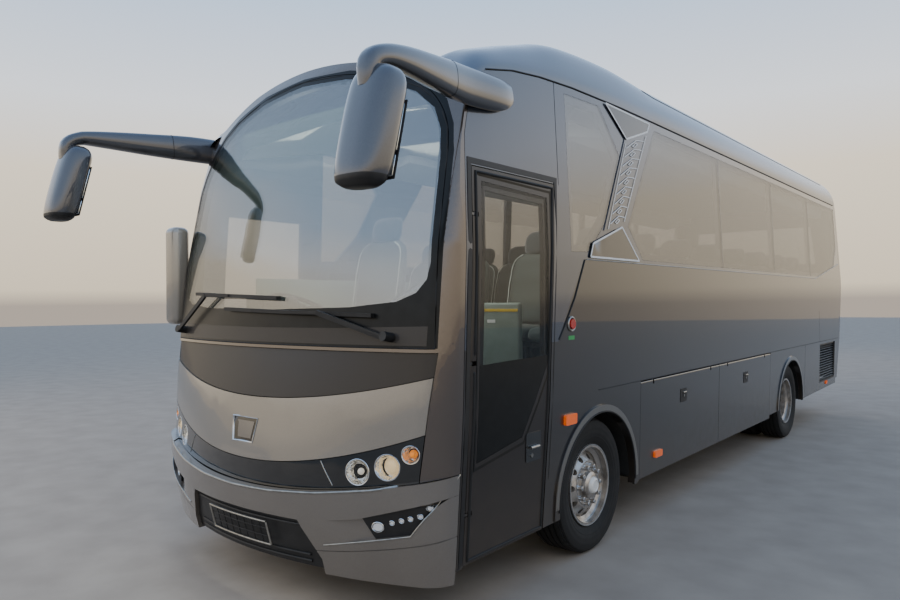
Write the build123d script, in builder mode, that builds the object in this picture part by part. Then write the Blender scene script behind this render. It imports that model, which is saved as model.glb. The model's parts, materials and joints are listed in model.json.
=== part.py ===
from build123d import *
import math
import os

os.makedirs("parts", exist_ok=True)

# Midibus. Millimetres, front towards -Y, entrance side towards +X, ground at Z = 0.
# The origin is on the ground, below the middle of the whole bus with its mirrors.

# Overall sizes
WHEELBASE = 4700
FRONT_OVERHANG = 1870
REAR_OVERHANG = 2900
MIRROR_REACH = 405
WAIST_HALF = 1215
ROOF_FRONT = 3345
ROOF_REAR = 3400

# Heights
SKIRT_FRONT = 300
SKIRT_MIDDLE = 350
SKIRT_TAIL = 470
BUMPER_TOP = 640
WAIST = 1035
SCREEN_FOOT = 1365
SILL = 1885
WINDOW_TOP = 2885
GUTTER = 2945
FLOOR_TOP = 980
FLOOR_THICK = 45

# Wall sizes
WALL = 42
SKIN_GAP = 4
DOOR_GAP = 6
PANE_THICK = 8
SCREEN_THICK = 12
SEAT_FIT = 0.3

# Wheels and axles
TYRE_RADIUS = 425
TYRE_WIDTH = 245
RIM_RADIUS = 258
WHEEL_OUT = WAIST_HALF - 163
TWIN_SPACING = 285
KINGPIN_OUT = WHEEL_OUT - 147
ARCH_RADIUS = 505

# Places along the bus, worked out from the overall sizes
LENGTH = MIRROR_REACH + FRONT_OVERHANG + WHEELBASE + REAR_OVERHANG
AXLE_F = MIRROR_REACH + FRONT_OVERHANG - LENGTH / 2
AXLE_R = AXLE_F + WHEELBASE
NOSE = AXLE_F - FRONT_OVERHANG
TAIL = AXLE_R + REAR_OVERHANG
REACH = WAIST_HALF + 400
# Everything at the front is set out from the cab's datum, which moves with the nose
CAB = NOSE + 1870

# Entrance door, its leaf leaning with the front pillar
DOOR_FOOT = SKIRT_FRONT + 12
DOOR_HEAD = 2292
DOOR_FRONT_LOW = CAB - 1362
DOOR_FRONT_HIGH = CAB - 1252
DOOR_REAR_LOW = CAB - 642
DOOR_REAR_HIGH = CAB - 472
DOOR_THICK = 36
PILLAR_STRIP = 55

# Luggage bays between the axles
BAY_FRONT = AXLE_F + 650
BAY_REAR = AXLE_R - 810
BAY_SPLIT = BAY_FRONT + 0.506 * (BAY_REAR - BAY_FRONT)
LEAF_THICK = 30


def zone(points, x_from=-REACH, x_to=REACH):
    """A prism that crosses the bus, with its outline given as (y, z) points."""
    with BuildPart() as prism:
        with BuildSketch(Plane.YZ.offset(x_from)):
            with BuildLine():
                Polyline(*points, close=True)
            make_face()
        extrude(amount=x_to - x_from)
    return prism.part


def block(x, y, z):
    """A box between two places on each axis."""
    with BuildPart() as box:
        with Locations(((x[0] + x[1]) / 2, (y[0] + y[1]) / 2, (z[0] + z[1]) / 2)):
            Box(abs(x[1] - x[0]), abs(y[1] - y[0]), abs(z[1] - z[0]))
    return box.part


def save(piece, name):
    piece.label = name
    export_step(piece, f"parts/{name}.step")


# The roof's nose in stations behind the cab's datum, with how far the gutter lies below GUTTER
# and the shoulder and the crown below the front roof height
NOSE_ROWS = [(-1300, 255, 555, 335), (-1100, 123, 465, 285), (-850, 69, 415, 235), (-570, 37, 260, 145),
             (-200, 15, 120, 45), (450, 0, 70, 0)]
ROOF_SHOULDER = 95


def side_half(height):
    """Half the body's width at one height, from the skirt to the gutter."""
    if height < WAIST:
        return WAIST_HALF - 22 * (WAIST - height) / (WAIST - SKIRT_FRONT)
    if height < SILL:
        return WAIST_HALF - 5 * (height - WAIST) / (SILL - WAIST)
    return WAIST_HALF - 5 - 45 * (height - SILL) / (GUTTER - SILL)


def cross_section(y, gutter, shoulder, crown, inset):
    """The body's cross-section at one station, from the heights of its three roof lines."""
    top = crown - inset
    turn = shoulder - inset
    half = WAIST_HALF - inset
    roof_half = half - 235
    middle = half * 0.45
    with BuildSketch(Plane.XZ.offset(-y)) as section:
        with BuildLine():
            Polyline((0, 100), (half - 35, 100), (half - 22, SKIRT_FRONT), (half, WAIST),
                     (half - 5, SILL), (half - 50, gutter))
            ThreePointArc((half - 50, gutter), (half - 100, gutter + 0.62 * (turn - gutter)), (roof_half, turn))
            ThreePointArc((roof_half, turn), (middle, top - (top - turn) * (middle / roof_half) ** 2), (0, top))
            mirror(about=Plane.YZ)
        make_face()
    return section.sketch


def body_form(inset):
    """The body's outer form, or the form that lies inset behind its skin."""
    stations = [(CAB + y, GUTTER - gutter, ROOF_FRONT - shoulder, ROOF_FRONT - crown)
                for y, gutter, shoulder, crown in NOSE_ROWS]
    stations.insert(0, (NOSE - 300, *stations[0][1:]))
    stations.append((TAIL + 200, GUTTER, ROOF_REAR - ROOF_SHOULDER, ROOF_REAR))
    rear_top = ROOF_REAR + 10 - inset
    tail = TAIL - inset
    with BuildPart() as form:
        loft(sections=[cross_section(*station, inset) for station in stations], ruled=True)
        with BuildSketch(Plane.YZ.offset(-REACH)):
            with BuildLine():
                Line((NOSE - 200, rear_top), (AXLE_R + 1100, rear_top))
                ThreePointArc((AXLE_R + 1100, rear_top), (tail - 480, rear_top - 110), (tail - 150, 2890))
                Polyline((tail - 150, 2890), (tail - 40, 2085), (tail, TAIL_KNEE), (tail - 320, SKIRT_TAIL),
                         (tail - 320, 100), (NOSE - 200, 100), (NOSE - 200, rear_top))
            make_face()
        extrude(amount=2 * REACH, mode=Mode.INTERSECT)
    return form.part


# The front's corners in plan, as (height, radius)
CORNER_ROWS = [(0, 190), (1100, 190), (1365, 170), (1900, 110), (2400, 35), (2950, 20), (9000, 20)]


def corner_radius(height):
    """The radius of the front's corners at one height."""
    for (low, low_radius), (high, high_radius) in zip(CORNER_ROWS, CORNER_ROWS[1:]):
        if height <= high:
            return low_radius + (high_radius - low_radius) * (height - low) / (high - low)
    return 20


def front_form(rows, inset):
    """A bowed front: each row is (height, how far behind the nose, radius of its bow)."""
    with BuildPart() as form:
        faces = []
        for height, setback, radius in rows:
            half = side_half(height) + 1 - inset
            bow = radius - inset
            lead = NOSE + setback + inset
            edge = lead + bow - math.sqrt(bow ** 2 - half ** 2)
            with BuildSketch(Plane.XY.offset(height)) as row:
                with BuildLine():
                    ThreePointArc((-half, edge), (0, lead), (half, edge))
                    Polyline((half, edge), (half, AXLE_F), (-half, AXLE_F), (-half, edge))
                make_face()
                fillet(row.vertices().sort_by(Axis.Y)[:2], max(corner_radius(height) - inset, 5))
            faces.append(row.sketch)
        loft(sections=faces, ruled=True)
    return form.part


BUMPER_ROWS = [(200, 95, 2600), (480, 20, 2500), (640, 0, 2500), (800, 0, 2500)]
MASK_ROWS = [(560, 58, 2700), (780, 65, 2800), (1100, 115, 3300), (SCREEN_FOOT, 180, 4200), (1900, 255, 4200),
             (2400, 360, 4100), (2950, 520, 4000), (ROOF_REAR + 60, 760, 4000)]
INTAKE_HALF = WAIST_HALF - 735
INTAKE_FOOT = WAIST_HALF - 625
INTAKE = [(-INTAKE_HALF, 515), (INTAKE_HALF, 515), (INTAKE_FOOT, 320), (INTAKE_FOOT, 200), (-INTAKE_FOOT, 200),
          (-INTAKE_FOOT, 320)]
LAMP_RECESS = [(WAIST_HALF - 378, 564), (WAIST_HALF - 10, 672), (WAIST_HALF - 137, 504), (WAIST_HALF - 320, 466)]
AIR_SCOOP = [(WAIST_HALF - 606, 527), (WAIST_HALF - 378, 564), (WAIST_HALF - 320, 466), (WAIST_HALF - 542, 410)]
BADGE_RECESS = [(-110, 985), (110, 985), (85, 850), (-85, 850)]
BULKHEAD_BACK = 110

# Seams of the front, as (height in the middle, height at the body's side)
BUMPER_EDGE = (BUMPER_TOP, BUMPER_TOP + 130)
BAND_EDGE = (768, 1010)
HOOD_EDGE = (1100, 1264)
LIP_SEAM = (330, 475)
POST_LOW = (WAIST_HALF - 123, 600)
POST_HIGH = (WAIST_HALF - 49, SCREEN_FOOT)
POST_BEND = 2450
POST_RAKE = 0.2745

DOOR_BEAD = 24
DOOR_PIN_X = WAIST_HALF - DOOR_BEAD
DOOR_HINGES = [560, 1300, 2050]
TAIL_KNEE = 1770
TAIL_SLOPE = 320 / (TAIL_KNEE - SKIRT_TAIL)
ROOF_NOSE = CAB - 930
SIDE_TOP = 2745
ARCH_HEIGHT = 380
ARCH_BACK = 50
LIP_WIDTH = 55
LIP_PROUD = 9
SEAM_WIDTH = 6
GRILLE_FRONT = AXLE_R + 1490
GRILLE_REAR = AXLE_R + 2400
GRILLE_LOW = 490
GRILLE_HIGH = 1000
EAR_HALF = 9
EAR_THICK = 12
EAR_HEIGHT = 40
PIN_RADIUS = 5
PIN_REACH = 14
BAY_PIN_X = WAIST_HALF - LEAF_THICK / 2 - 1
BAY_PIN_Z = WAIST - DOOR_GAP - LEAF_THICK / 2
HOLD_HALF = WAIST_HALF - 72
FLOOR_FRONT = NOSE + 400
STEP_INNER = 380
STEP_OUTER = WAIST_HALF - WALL - 25
STEP_FRONT = CAB - 1330
STEP_REAR = CAB - 560
STEP_LOW = 380
STEP_COUNT = 3
STEP_PLATE = 12
HATCH_HALF = WAIST_HALF - 395
HATCH_LOW = 620
HATCH_HIGH = 1600
HATCH_PIN_Z = HATCH_HIGH - DOOR_GAP - LEAF_THICK / 2
HATCH_PIN_Y = TAIL - (TAIL_KNEE - HATCH_PIN_Z) * TAIL_SLOPE - LEAF_THICK / 2

SPINDLE_RADIUS = 38
EYE_HALF = 38
EYE_RADIUS = 40
PIVOT_RADIUS = 18
BEAM_LOW = 300
SPRING_OUT = 335
RAIL_IN = 300
RAIL_OUT = 370
RAIL_LOW = 570
RAIL_DEEP = 140
JACK_PAD = 110
JACK_THICK = 14
JACK_PLACES = [AXLE_F + 480, AXLE_R + 640]
DASH_HALF = WAIST_HALF - 105
DRIVER_OUT = 650
SEAT_OUT = WAIST_HALF - 525
SEAT_PAIR = 900
SEAT_ROWS = 8
SEAT_START = 420
SEAT_PITCH = 760
MIRROR_OUT = WAIST_HALF + 170
SLATS = 14

OUTER = body_form(0)
INNER = body_form(WALL)
GLASS_BED = body_form(PANE_THICK)
GROOVE_BED = body_form(4)
LIP_FORM = body_form(-LIP_PROUD)


def front_line(height):
    """Where the front pillar's rear edge lies, at one height."""
    lean = (DOOR_FRONT_HIGH - DOOR_FRONT_LOW) / (DOOR_HEAD - DOOR_FOOT)
    upright = min(height, POST_BEND)
    return DOOR_FRONT_LOW - PILLAR_STRIP + (upright - DOOR_FOOT) * lean + (height - upright) * POST_RAKE


def skirt(y):
    """The lower edge of the side, which rises towards the rear."""
    return SKIRT_FRONT + (y - NOSE) * (SKIRT_TAIL - SKIRT_FRONT) / (TAIL - NOSE) * 0.6


def rear_line(height):
    """Where the side ends and the rear wall begins."""
    if height > TAIL_KNEE:
        return TAIL - 90 - (height - TAIL_KNEE) * 0.125
    return TAIL - 90 - (TAIL_KNEE - height) * TAIL_SLOPE


def body_shell(form, inner, outline, x_from=-REACH, x_to=REACH):
    """What lies between two forms, inside a side outline."""
    with BuildPart() as wall:
        add(form)
        add(inner, mode=Mode.SUBTRACT)
        add(zone(outline, x_from, x_to), mode=Mode.INTERSECT)
    return wall.part


def front_solid(rows, inset, sides):
    """The bowed front between the body's sides."""
    with BuildPart() as solid:
        add(front_form(rows, inset))
        add(sides, mode=Mode.INTERSECT)
    return solid.part


def front_outline(low, high):
    """The part of the side view that lies ahead of the front pillar's rear edge."""
    return [(NOSE - 300, low), (front_line(low), low), (front_line(high), high), (NOSE - 300, high)]


SEAM_REACH = WAIST_HALF + 20


def seam_end(seam):
    """A seam's height at the end of its arc, just beyond the body's side."""
    share = (SEAM_REACH / WAIST_HALF) ** 2
    return seam[0] + max(seam[1] - seam[0], 0.5) * share


def seam_band(low, high):
    """A prism seen from the front, between two seams that rise towards the sides."""
    low_end = seam_end(low)
    high_end = seam_end(high)
    with BuildPart() as prism:
        with BuildSketch(Plane.XZ.offset(-NOSE + 200)):
            with BuildLine():
                ThreePointArc((-SEAM_REACH, low_end), (0, low[0]), (SEAM_REACH, low_end))
                Line((SEAM_REACH, low_end), (SEAM_REACH, high_end))
                ThreePointArc((SEAM_REACH, high_end), (0, high[0]), (-SEAM_REACH, high_end))
                Line((-SEAM_REACH, high_end), (-SEAM_REACH, low_end))
            make_face()
        extrude(amount=-1400)
    return prism.part


def front_prism(points, depth=800):
    """A prism seen from the front, from its (x, z) outline, reaching back from ahead of the nose."""
    with BuildPart() as prism:
        with BuildSketch(Plane.XZ.offset(-NOSE + 200)):
            with BuildLine():
                Polyline(*points, close=True)
            make_face()
        extrude(amount=-depth)
    return prism.part


def post_outline(grow):
    """What lies between the two front posts, seen from the front and grown sideways."""
    return [(-POST_LOW[0] - grow, POST_LOW[1] - 400), (POST_LOW[0] + grow, POST_LOW[1] - 400),
            (POST_LOW[0] + grow, POST_LOW[1]), (POST_HIGH[0] + grow, POST_HIGH[1]),
            (-POST_HIGH[0] - grow, POST_HIGH[1]), (-POST_LOW[0] - grow, POST_LOW[1])]


def raised(seam, rise):
    return (seam[0] + rise, seam[1] + rise)


def gutter_points(y_from, y_to):
    """Points of the gutter line between two places along the bus."""
    rows = [(CAB + y, GUTTER - drop) for y, drop, shoulder, crown in NOSE_ROWS] + [(TAIL + 300, GUTTER)]
    places = sorted({y_from, y_to} | {y for y, z in rows if y_from < y < y_to})
    points = []
    for place in places:
        for (y0, z0), (y1, z1) in zip(rows, rows[1:]):
            if y0 <= place <= y1:
                points.append((place, z0 + (z1 - z0) * (place - y0) / (y1 - y0)))
                break
    return points


# Bumper, with its intake, the recesses of the small lamps and the scoops that lead into them
with BuildPart() as bumper:
    add(body_shell(front_solid(BUMPER_ROWS, 0, OUTER), front_solid(BUMPER_ROWS, 50, INNER),
                   front_outline(SKIRT_FRONT - 60, WAIST)))
    add(seam_band((0, 0), BUMPER_EDGE), mode=Mode.INTERSECT)
    add(front_prism(INTAKE), mode=Mode.SUBTRACT)
    with BuildPart(mode=Mode.PRIVATE) as pocket:
        add(front_prism(LAMP_RECESS))
        add(front_solid(BUMPER_ROWS, 32, OUTER), mode=Mode.SUBTRACT)
    with BuildPart(mode=Mode.PRIVATE) as scoop:
        with BuildSketch(Plane.XY.offset(300)):
            with BuildLine():
                Polyline((WAIST_HALF - 615, NOSE + 70), (WAIST_HALF - 315, NOSE + 225), (WAIST_HALF - 315, NOSE - 100),
                         (WAIST_HALF - 615, NOSE - 100), close=True)
            make_face()
        extrude(amount=400)
        add(front_prism(AIR_SCOOP), mode=Mode.INTERSECT)
    for cut in (pocket.part, scoop.part):
        add(cut, mode=Mode.SUBTRACT)
        add(mirror(cut, about=Plane.YZ), mode=Mode.SUBTRACT)
    with BuildPart(mode=Mode.PRIVATE) as seam:
        add(seam_band(LIP_SEAM, raised(LIP_SEAM, 5)))
        add(front_solid(BUMPER_ROWS, 5, OUTER), mode=Mode.SUBTRACT)
    add(seam.part, mode=Mode.SUBTRACT)
save(bumper.part, "front_bumper")

with BuildPart() as insert:
    with BuildPart(mode=Mode.PRIVATE) as grille:
        add(front_solid(BUMPER_ROWS, 25, OUTER))
        add(front_solid(BUMPER_ROWS, 50, OUTER), mode=Mode.SUBTRACT)
        add(front_prism(INTAKE), mode=Mode.INTERSECT)
        add(zone(front_outline(SKIRT_FRONT - 40, BUMPER_TOP)), mode=Mode.INTERSECT)
    add(grille.part)
    for side in (-1, 1):
        with BuildPart(mode=Mode.PRIVATE) as lamp_bed:
            add(front_solid(BUMPER_ROWS, 20, OUTER))
            add(front_solid(BUMPER_ROWS, 32, OUTER), mode=Mode.SUBTRACT)
            add(front_prism([(side * x, z) for x, z in LAMP_RECESS]), mode=Mode.INTERSECT)
            add(zone(front_outline(SKIRT_FRONT, BUMPER_TOP)), mode=Mode.INTERSECT)
        add(lamp_bed.part)
save(insert.part, "bumper_insert")

# Lamps in the band: (distance from the middle, height, radius)
LAMPS = [(WAIST_HALF - 418, 778, 64), (WAIST_HALF - 265, 812, 64), (WAIST_HALF - 153, 880, 44)]
mask_outer = front_solid(MASK_ROWS, 0, OUTER)
mask_back = front_solid(MASK_ROWS, 40, INNER)


def front_panel(low, high, outer):
    """A panel of the front between two seams and the two posts, with its gaps."""
    with BuildPart() as panel:
        add(body_shell(outer, mask_back, front_outline(BUMPER_TOP, SCREEN_FOOT)))
        add(seam_band(raised(low, SKIN_GAP / 2), raised(high, -SKIN_GAP / 2)), mode=Mode.INTERSECT)
        add(front_prism(post_outline(-SKIN_GAP / 2)), mode=Mode.INTERSECT)
    return panel.part


with BuildPart() as band:
    add(front_panel(BUMPER_EDGE, BAND_EDGE, mask_outer))
    for x, z, radius in LAMPS:
        for side in (-1, 1):
            with Locations(Location((side * x, NOSE + 230, z), (90, 0, 0))):
                Cylinder(radius + SEAT_FIT, 300, mode=Mode.SUBTRACT)
save(band.part, "lamp_band")

with BuildPart() as mask:
    add(front_panel(BAND_EDGE, HOOD_EDGE, mask_outer))
    with BuildPart(mode=Mode.PRIVATE) as badge_bed:
        add(front_prism(BADGE_RECESS))
        add(front_solid(MASK_ROWS, 10, OUTER), mode=Mode.SUBTRACT)
    add(badge_bed.part, mode=Mode.SUBTRACT)
save(mask.part, "front_mask")

TOP_SEAM = (SCREEN_FOOT - SKIN_GAP / 2, SCREEN_FOOT - SKIN_GAP / 2)
save(front_panel(HOOD_EDGE, TOP_SEAM, front_solid(MASK_ROWS, 8, OUTER)), "hood_panel")

with BuildPart() as lamps:
    with BuildPart(mode=Mode.PRIVATE) as ahead:
        add(front_solid(MASK_ROWS, 6, OUTER))
        add(front_solid(MASK_ROWS, 40, OUTER), mode=Mode.SUBTRACT)
    for x, z, radius in LAMPS:
        for side in (-1, 1):
            with BuildPart(mode=Mode.PRIVATE) as lamp:
                with Locations(Location((side * x, NOSE + 230, z), (90, 0, 0))):
                    Cylinder(radius, 300)
                add(ahead.part, mode=Mode.INTERSECT)
            add(lamp.part)
save(lamps.part, "head_lamps")

# Bulkhead behind the bumper and the mask, which carries both
with BuildPart() as bulkhead:
    add(body_shell(mask_back, front_solid(MASK_ROWS, 60, INNER), front_outline(BUMPER_TOP, SCREEN_FOOT - 15)))
    add(front_prism(post_outline(-SKIN_GAP)), mode=Mode.INTERSECT)
    with BuildPart(mode=Mode.PRIVATE) as beam:
        add(body_shell(front_solid(BUMPER_ROWS, 50, INNER), front_solid(BUMPER_ROWS, BULKHEAD_BACK, INNER),
                       front_outline(420, BUMPER_TOP)))
    add(beam.part)
save(bulkhead.part, "front_bulkhead")


# Windscreen and the posts and header around it
def screen_outline(grow):
    """The windscreen's outline seen from the front, grown by a margin."""
    with BuildPart() as prism:
        with BuildSketch(Plane.XZ.offset(-NOSE + 200)):
            with BuildLine():
                Polyline((0, SCREEN_FOOT + 20 - grow), (WAIST_HALF - 62 + grow, SCREEN_FOOT + 20 - grow),
                         (WAIST_HALF - 92 + grow, 2350))
                ThreePointArc((WAIST_HALF - 92 + grow, 2350), (WAIST_HALF - 179 + grow * 0.8, 2620 + grow * 0.5),
                              (700 + grow * 0.2, 2822 + grow))
                ThreePointArc((700 + grow * 0.2, 2822 + grow), (390, 2898 + grow), (0, 2932 + grow))
                mirror(about=Plane.YZ)
            make_face()
        extrude(amount=-1200)
    return prism.part


screen_bed = front_solid(MASK_ROWS, SCREEN_THICK, OUTER)
roof_side = gutter_points(front_line(SIDE_TOP), ROOF_NOSE)
screen_zone = front_outline(BUMPER_TOP, POST_BEND)[:3] + roof_side + [
    (ROOF_NOSE, ROOF_REAR + 50), (NOSE - 300, ROOF_REAR + 50)]
with BuildPart() as surround:
    add(body_shell(mask_outer, front_solid(MASK_ROWS, 60, INNER), screen_zone))
    add(seam_band(raised(BUMPER_EDGE, SKIN_GAP), (ROOF_REAR + 100, ROOF_REAR + 100)), mode=Mode.INTERSECT)
    with BuildPart(mode=Mode.PRIVATE) as between:
        add(front_prism(post_outline(SKIN_GAP / 2), 1400))
    add(between.part, mode=Mode.SUBTRACT)
    with BuildPart(mode=Mode.PRIVATE) as recess:
        add(screen_outline(SKIN_GAP))
        add(screen_bed, mode=Mode.SUBTRACT)
    add(recess.part, mode=Mode.SUBTRACT)
    add(screen_outline(-55), mode=Mode.SUBTRACT)
save(surround.part, "windscreen_surround")

with BuildPart() as screen:
    add(mask_outer)
    add(screen_bed, mode=Mode.SUBTRACT)
    add(screen_outline(0), mode=Mode.INTERSECT)
save(screen.part, "windscreen")


# Sides, each with its doorway or cab window, arches, bays and glazing
def along_bus(points, datum):
    """Points given from a datum, moved to their place along the bus."""
    return [(datum + y, z) for y, z in points]


# Side panes, as (distance behind the front axle, height)
PANE_JOINTS = [0.517 * WHEELBASE, 0.8766 * WHEELBASE, WHEELBASE + 1050]
PANE_GAP = 6
PANE_LOW = SILL + 8
PANES = {
    "front": [(-300, 2873), (150, 2890), (440, 2579), (187, 2142), (-75, 1915), (-300, 1905)],
    "second": [(1030, WINDOW_TOP), (PANE_JOINTS[0] - PANE_GAP, WINDOW_TOP), (PANE_JOINTS[0] - PANE_GAP, PANE_LOW),
               (720, PANE_LOW), (500, 2120)],
    "rear": [(PANE_JOINTS[2] + PANE_GAP, WINDOW_TOP), (WHEELBASE + 2610, WINDOW_TOP), (WHEELBASE + 2630, 2330),
             (WHEELBASE + 2310, PANE_LOW), (PANE_JOINTS[2] + PANE_GAP, PANE_LOW)],
}
for name, front, rear in (("third", *PANE_JOINTS[:2]), ("fourth", *PANE_JOINTS[1:])):
    PANES[name] = [(front + PANE_GAP, WINDOW_TOP), (rear - PANE_GAP, WINDOW_TOP), (rear - PANE_GAP, PANE_LOW),
                   (front + PANE_GAP, PANE_LOW)]
CAB_PANE = [(-1170, 2290), (-420, 2290), (-420, 1400), (-1215, 1400)]


def pane_zone(points, grow, x_from, x_to, datum=AXLE_F):
    """A pane's outline as a prism, grown by a margin."""
    with BuildPart() as prism:
        with BuildSketch(Plane.YZ.offset(x_from)):
            with BuildLine():
                Polyline(*along_bus(points, datum), close=True)
            make_face()
            if grow:
                offset(amount=grow, kind=Kind.INTERSECTION)
        extrude(amount=x_to - x_from)
    return prism.part


def arch_zone(centre, radius):
    """A wheel arch: a round top that runs straight down below the skirt."""
    with BuildPart() as prism:
        with BuildSketch(Plane.YZ.offset(-REACH)):
            with Locations((centre, ARCH_HEIGHT)):
                Circle(radius)
            with Locations((centre, ARCH_HEIGHT - 400)):
                Rectangle(2 * radius, 800)
        extrude(amount=2 * REACH)
    return prism.part


side_zone = [(front_line(SKIRT_FRONT) + SKIN_GAP, SKIRT_FRONT), (NOSE + 600, skirt(NOSE + 600)),
             (rear_line(skirt(TAIL)), skirt(TAIL)), (rear_line(TAIL_KNEE), TAIL_KNEE)]
side_zone += reversed(gutter_points(front_line(SIDE_TOP) + SKIN_GAP, rear_line(GUTTER)))
side_zone += [(front_line(POST_BEND) + SKIN_GAP, POST_BEND)]
side_shell = body_shell(OUTER, INNER, side_zone, WAIST_HALF - 300, REACH)
doorway = [(DOOR_FRONT_LOW - DOOR_GAP, SKIRT_FRONT - 50), (DOOR_FRONT_HIGH - DOOR_GAP, DOOR_HEAD + DOOR_GAP),
           (DOOR_REAR_HIGH + DOOR_GAP, DOOR_HEAD + DOOR_GAP), (DOOR_REAR_LOW + DOOR_GAP, SKIRT_FRONT - 50)]

# Grooves where two skins meet on a side: above the door, at the rear corner panel, and behind the rear bay
SIDE_SEAMS = [[(y, low), (y + SEAM_WIDTH, low), (y + SEAM_WIDTH, high), (y, high)] for y, low, high in (
    (CAB - 420, DOOR_HEAD + DOOR_GAP, GUTTER), (AXLE_R + 1470, WAIST, SILL - 440), (AXLE_R + 700, 440, WAIST))]

with BuildPart() as wall:
    add(side_shell)
    for outline in PANES.values():
        with BuildPart(mode=Mode.PRIVATE) as bed:
            add(pane_zone(outline, 0, 0, REACH))
            add(GLASS_BED, mode=Mode.SUBTRACT)
        add(bed.part, mode=Mode.SUBTRACT)
        add(pane_zone(outline, -45, 0, REACH), mode=Mode.SUBTRACT)
    add(arch_zone(AXLE_F + ARCH_BACK, ARCH_RADIUS), mode=Mode.SUBTRACT)
    add(arch_zone(AXLE_R + ARCH_BACK, ARCH_RADIUS), mode=Mode.SUBTRACT)
    add(zone([(BAY_FRONT, 0), (BAY_REAR, 0), (BAY_REAR, WAIST), (BAY_FRONT, WAIST)]), mode=Mode.SUBTRACT)
    add(zone([(GRILLE_FRONT, GRILLE_LOW), (GRILLE_REAR, GRILLE_LOW), (GRILLE_REAR, GRILLE_HIGH),
              (GRILLE_FRONT, GRILLE_HIGH)]), mode=Mode.SUBTRACT)
    for centre in (AXLE_F, AXLE_R):
        with BuildPart(mode=Mode.PRIVATE) as lip:
            add(arch_zone(centre + ARCH_BACK, ARCH_RADIUS + LIP_WIDTH))
            add(arch_zone(centre + ARCH_BACK, ARCH_RADIUS), mode=Mode.SUBTRACT)
            add(zone([(centre - 700, skirt(centre)), (centre + 700, skirt(centre)), (centre + 700, WAIST),
                      (centre - 700, WAIST)]), mode=Mode.INTERSECT)
            add(LIP_FORM, mode=Mode.INTERSECT)
            add(GLASS_BED, mode=Mode.SUBTRACT)
            add(block((0, REACH), (NOSE, TAIL), (0, WAIST)), mode=Mode.INTERSECT)
        add(lip.part)
    for outline in SIDE_SEAMS:
        with BuildPart(mode=Mode.PRIVATE) as groove:
            add(zone(outline, 0, REACH))
            add(GROOVE_BED, mode=Mode.SUBTRACT)
        add(groove.part, mode=Mode.SUBTRACT)
common_wall = wall.part


def door_pin(height):
    """A point on the entrance door's hinge line, which leans with the front pillar."""
    share = (height - DOOR_FOOT) / (DOOR_HEAD - DOOR_FOOT)
    return Vector(DOOR_PIN_X, DOOR_FRONT_LOW + DOOR_BEAD + share * (DOOR_FRONT_HIGH - DOOR_FRONT_LOW), height)


DOOR_LEAN = math.degrees(math.atan((DOOR_FRONT_HIGH - DOOR_FRONT_LOW) / (DOOR_HEAD - DOOR_FOOT)))


def hinge_ear(y, x, z, side):
    """A lug of the wall above a bay, with the pin that its leaf turns on."""
    with BuildPart() as ear:
        with Locations((side * x, y, z + EAR_HEIGHT / 2 - EAR_HALF)):
            Box(2 * EAR_HALF, EAR_THICK, EAR_HEIGHT)
        with Locations(Location((side * x, y, z), (90, 0, 0))):
            Cylinder(PIN_RADIUS, EAR_THICK + 2 * PIN_REACH)
    return ear.part


def bay_hinges(front, rear):
    return [front + 220, rear - 220]


BAYS = [(BAY_FRONT, BAY_SPLIT), (BAY_SPLIT, BAY_REAR)]

with BuildPart() as left:
    add(common_wall)
    add(zone(doorway), mode=Mode.SUBTRACT)
    for front, rear in BAYS:
        for y in bay_hinges(front, rear):
            add(hinge_ear(y, BAY_PIN_X, BAY_PIN_Z, 1))
    for height in DOOR_HINGES:
        pin = door_pin(height)
        with Locations((pin.X, pin.Y - DOOR_BEAD / 2, height)):
            Box(2 * EAR_HALF, DOOR_BEAD + 2 * DOOR_GAP + 8, EAR_THICK)
        with Locations(Location(pin, (-DOOR_LEAN, 0, 0))):
            Cylinder(PIN_RADIUS, EAR_THICK + 2 * PIN_REACH)
save(left.part, "side_wall_left")

with BuildPart() as right:
    add(common_wall)
    with BuildPart(mode=Mode.PRIVATE) as bed:
        add(pane_zone(CAB_PANE, 0, 0, REACH, CAB))
        add(GLASS_BED, mode=Mode.SUBTRACT)
    add(bed.part, mode=Mode.SUBTRACT)
    add(pane_zone(CAB_PANE, -45, 0, REACH, CAB), mode=Mode.SUBTRACT)
    for front, rear in BAYS:
        for y in bay_hinges(front, rear):
            add(hinge_ear(y, BAY_PIN_X, BAY_PIN_Z, 1))
save(mirror(right.part, about=Plane.YZ), "side_wall_right")


def glazing(panes):
    """Side panes of one side, bonded in their beds, from their outlines and datums."""
    with BuildPart() as glass:
        for outline, datum in panes:
            with BuildPart(mode=Mode.PRIVATE) as pane:
                add(OUTER)
                add(GLASS_BED, mode=Mode.SUBTRACT)
                add(pane_zone(outline, -SKIN_GAP / 2, 0, REACH, datum), mode=Mode.INTERSECT)
            add(pane.part)
    return glass.part


PASSENGER_PANES = [(outline, AXLE_F) for outline in PANES.values()]
save(glazing(PASSENGER_PANES), "side_glass_left")
save(mirror(glazing([(CAB_PANE, CAB), *PASSENGER_PANES]), about=Plane.YZ), "side_glass_right")


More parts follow.
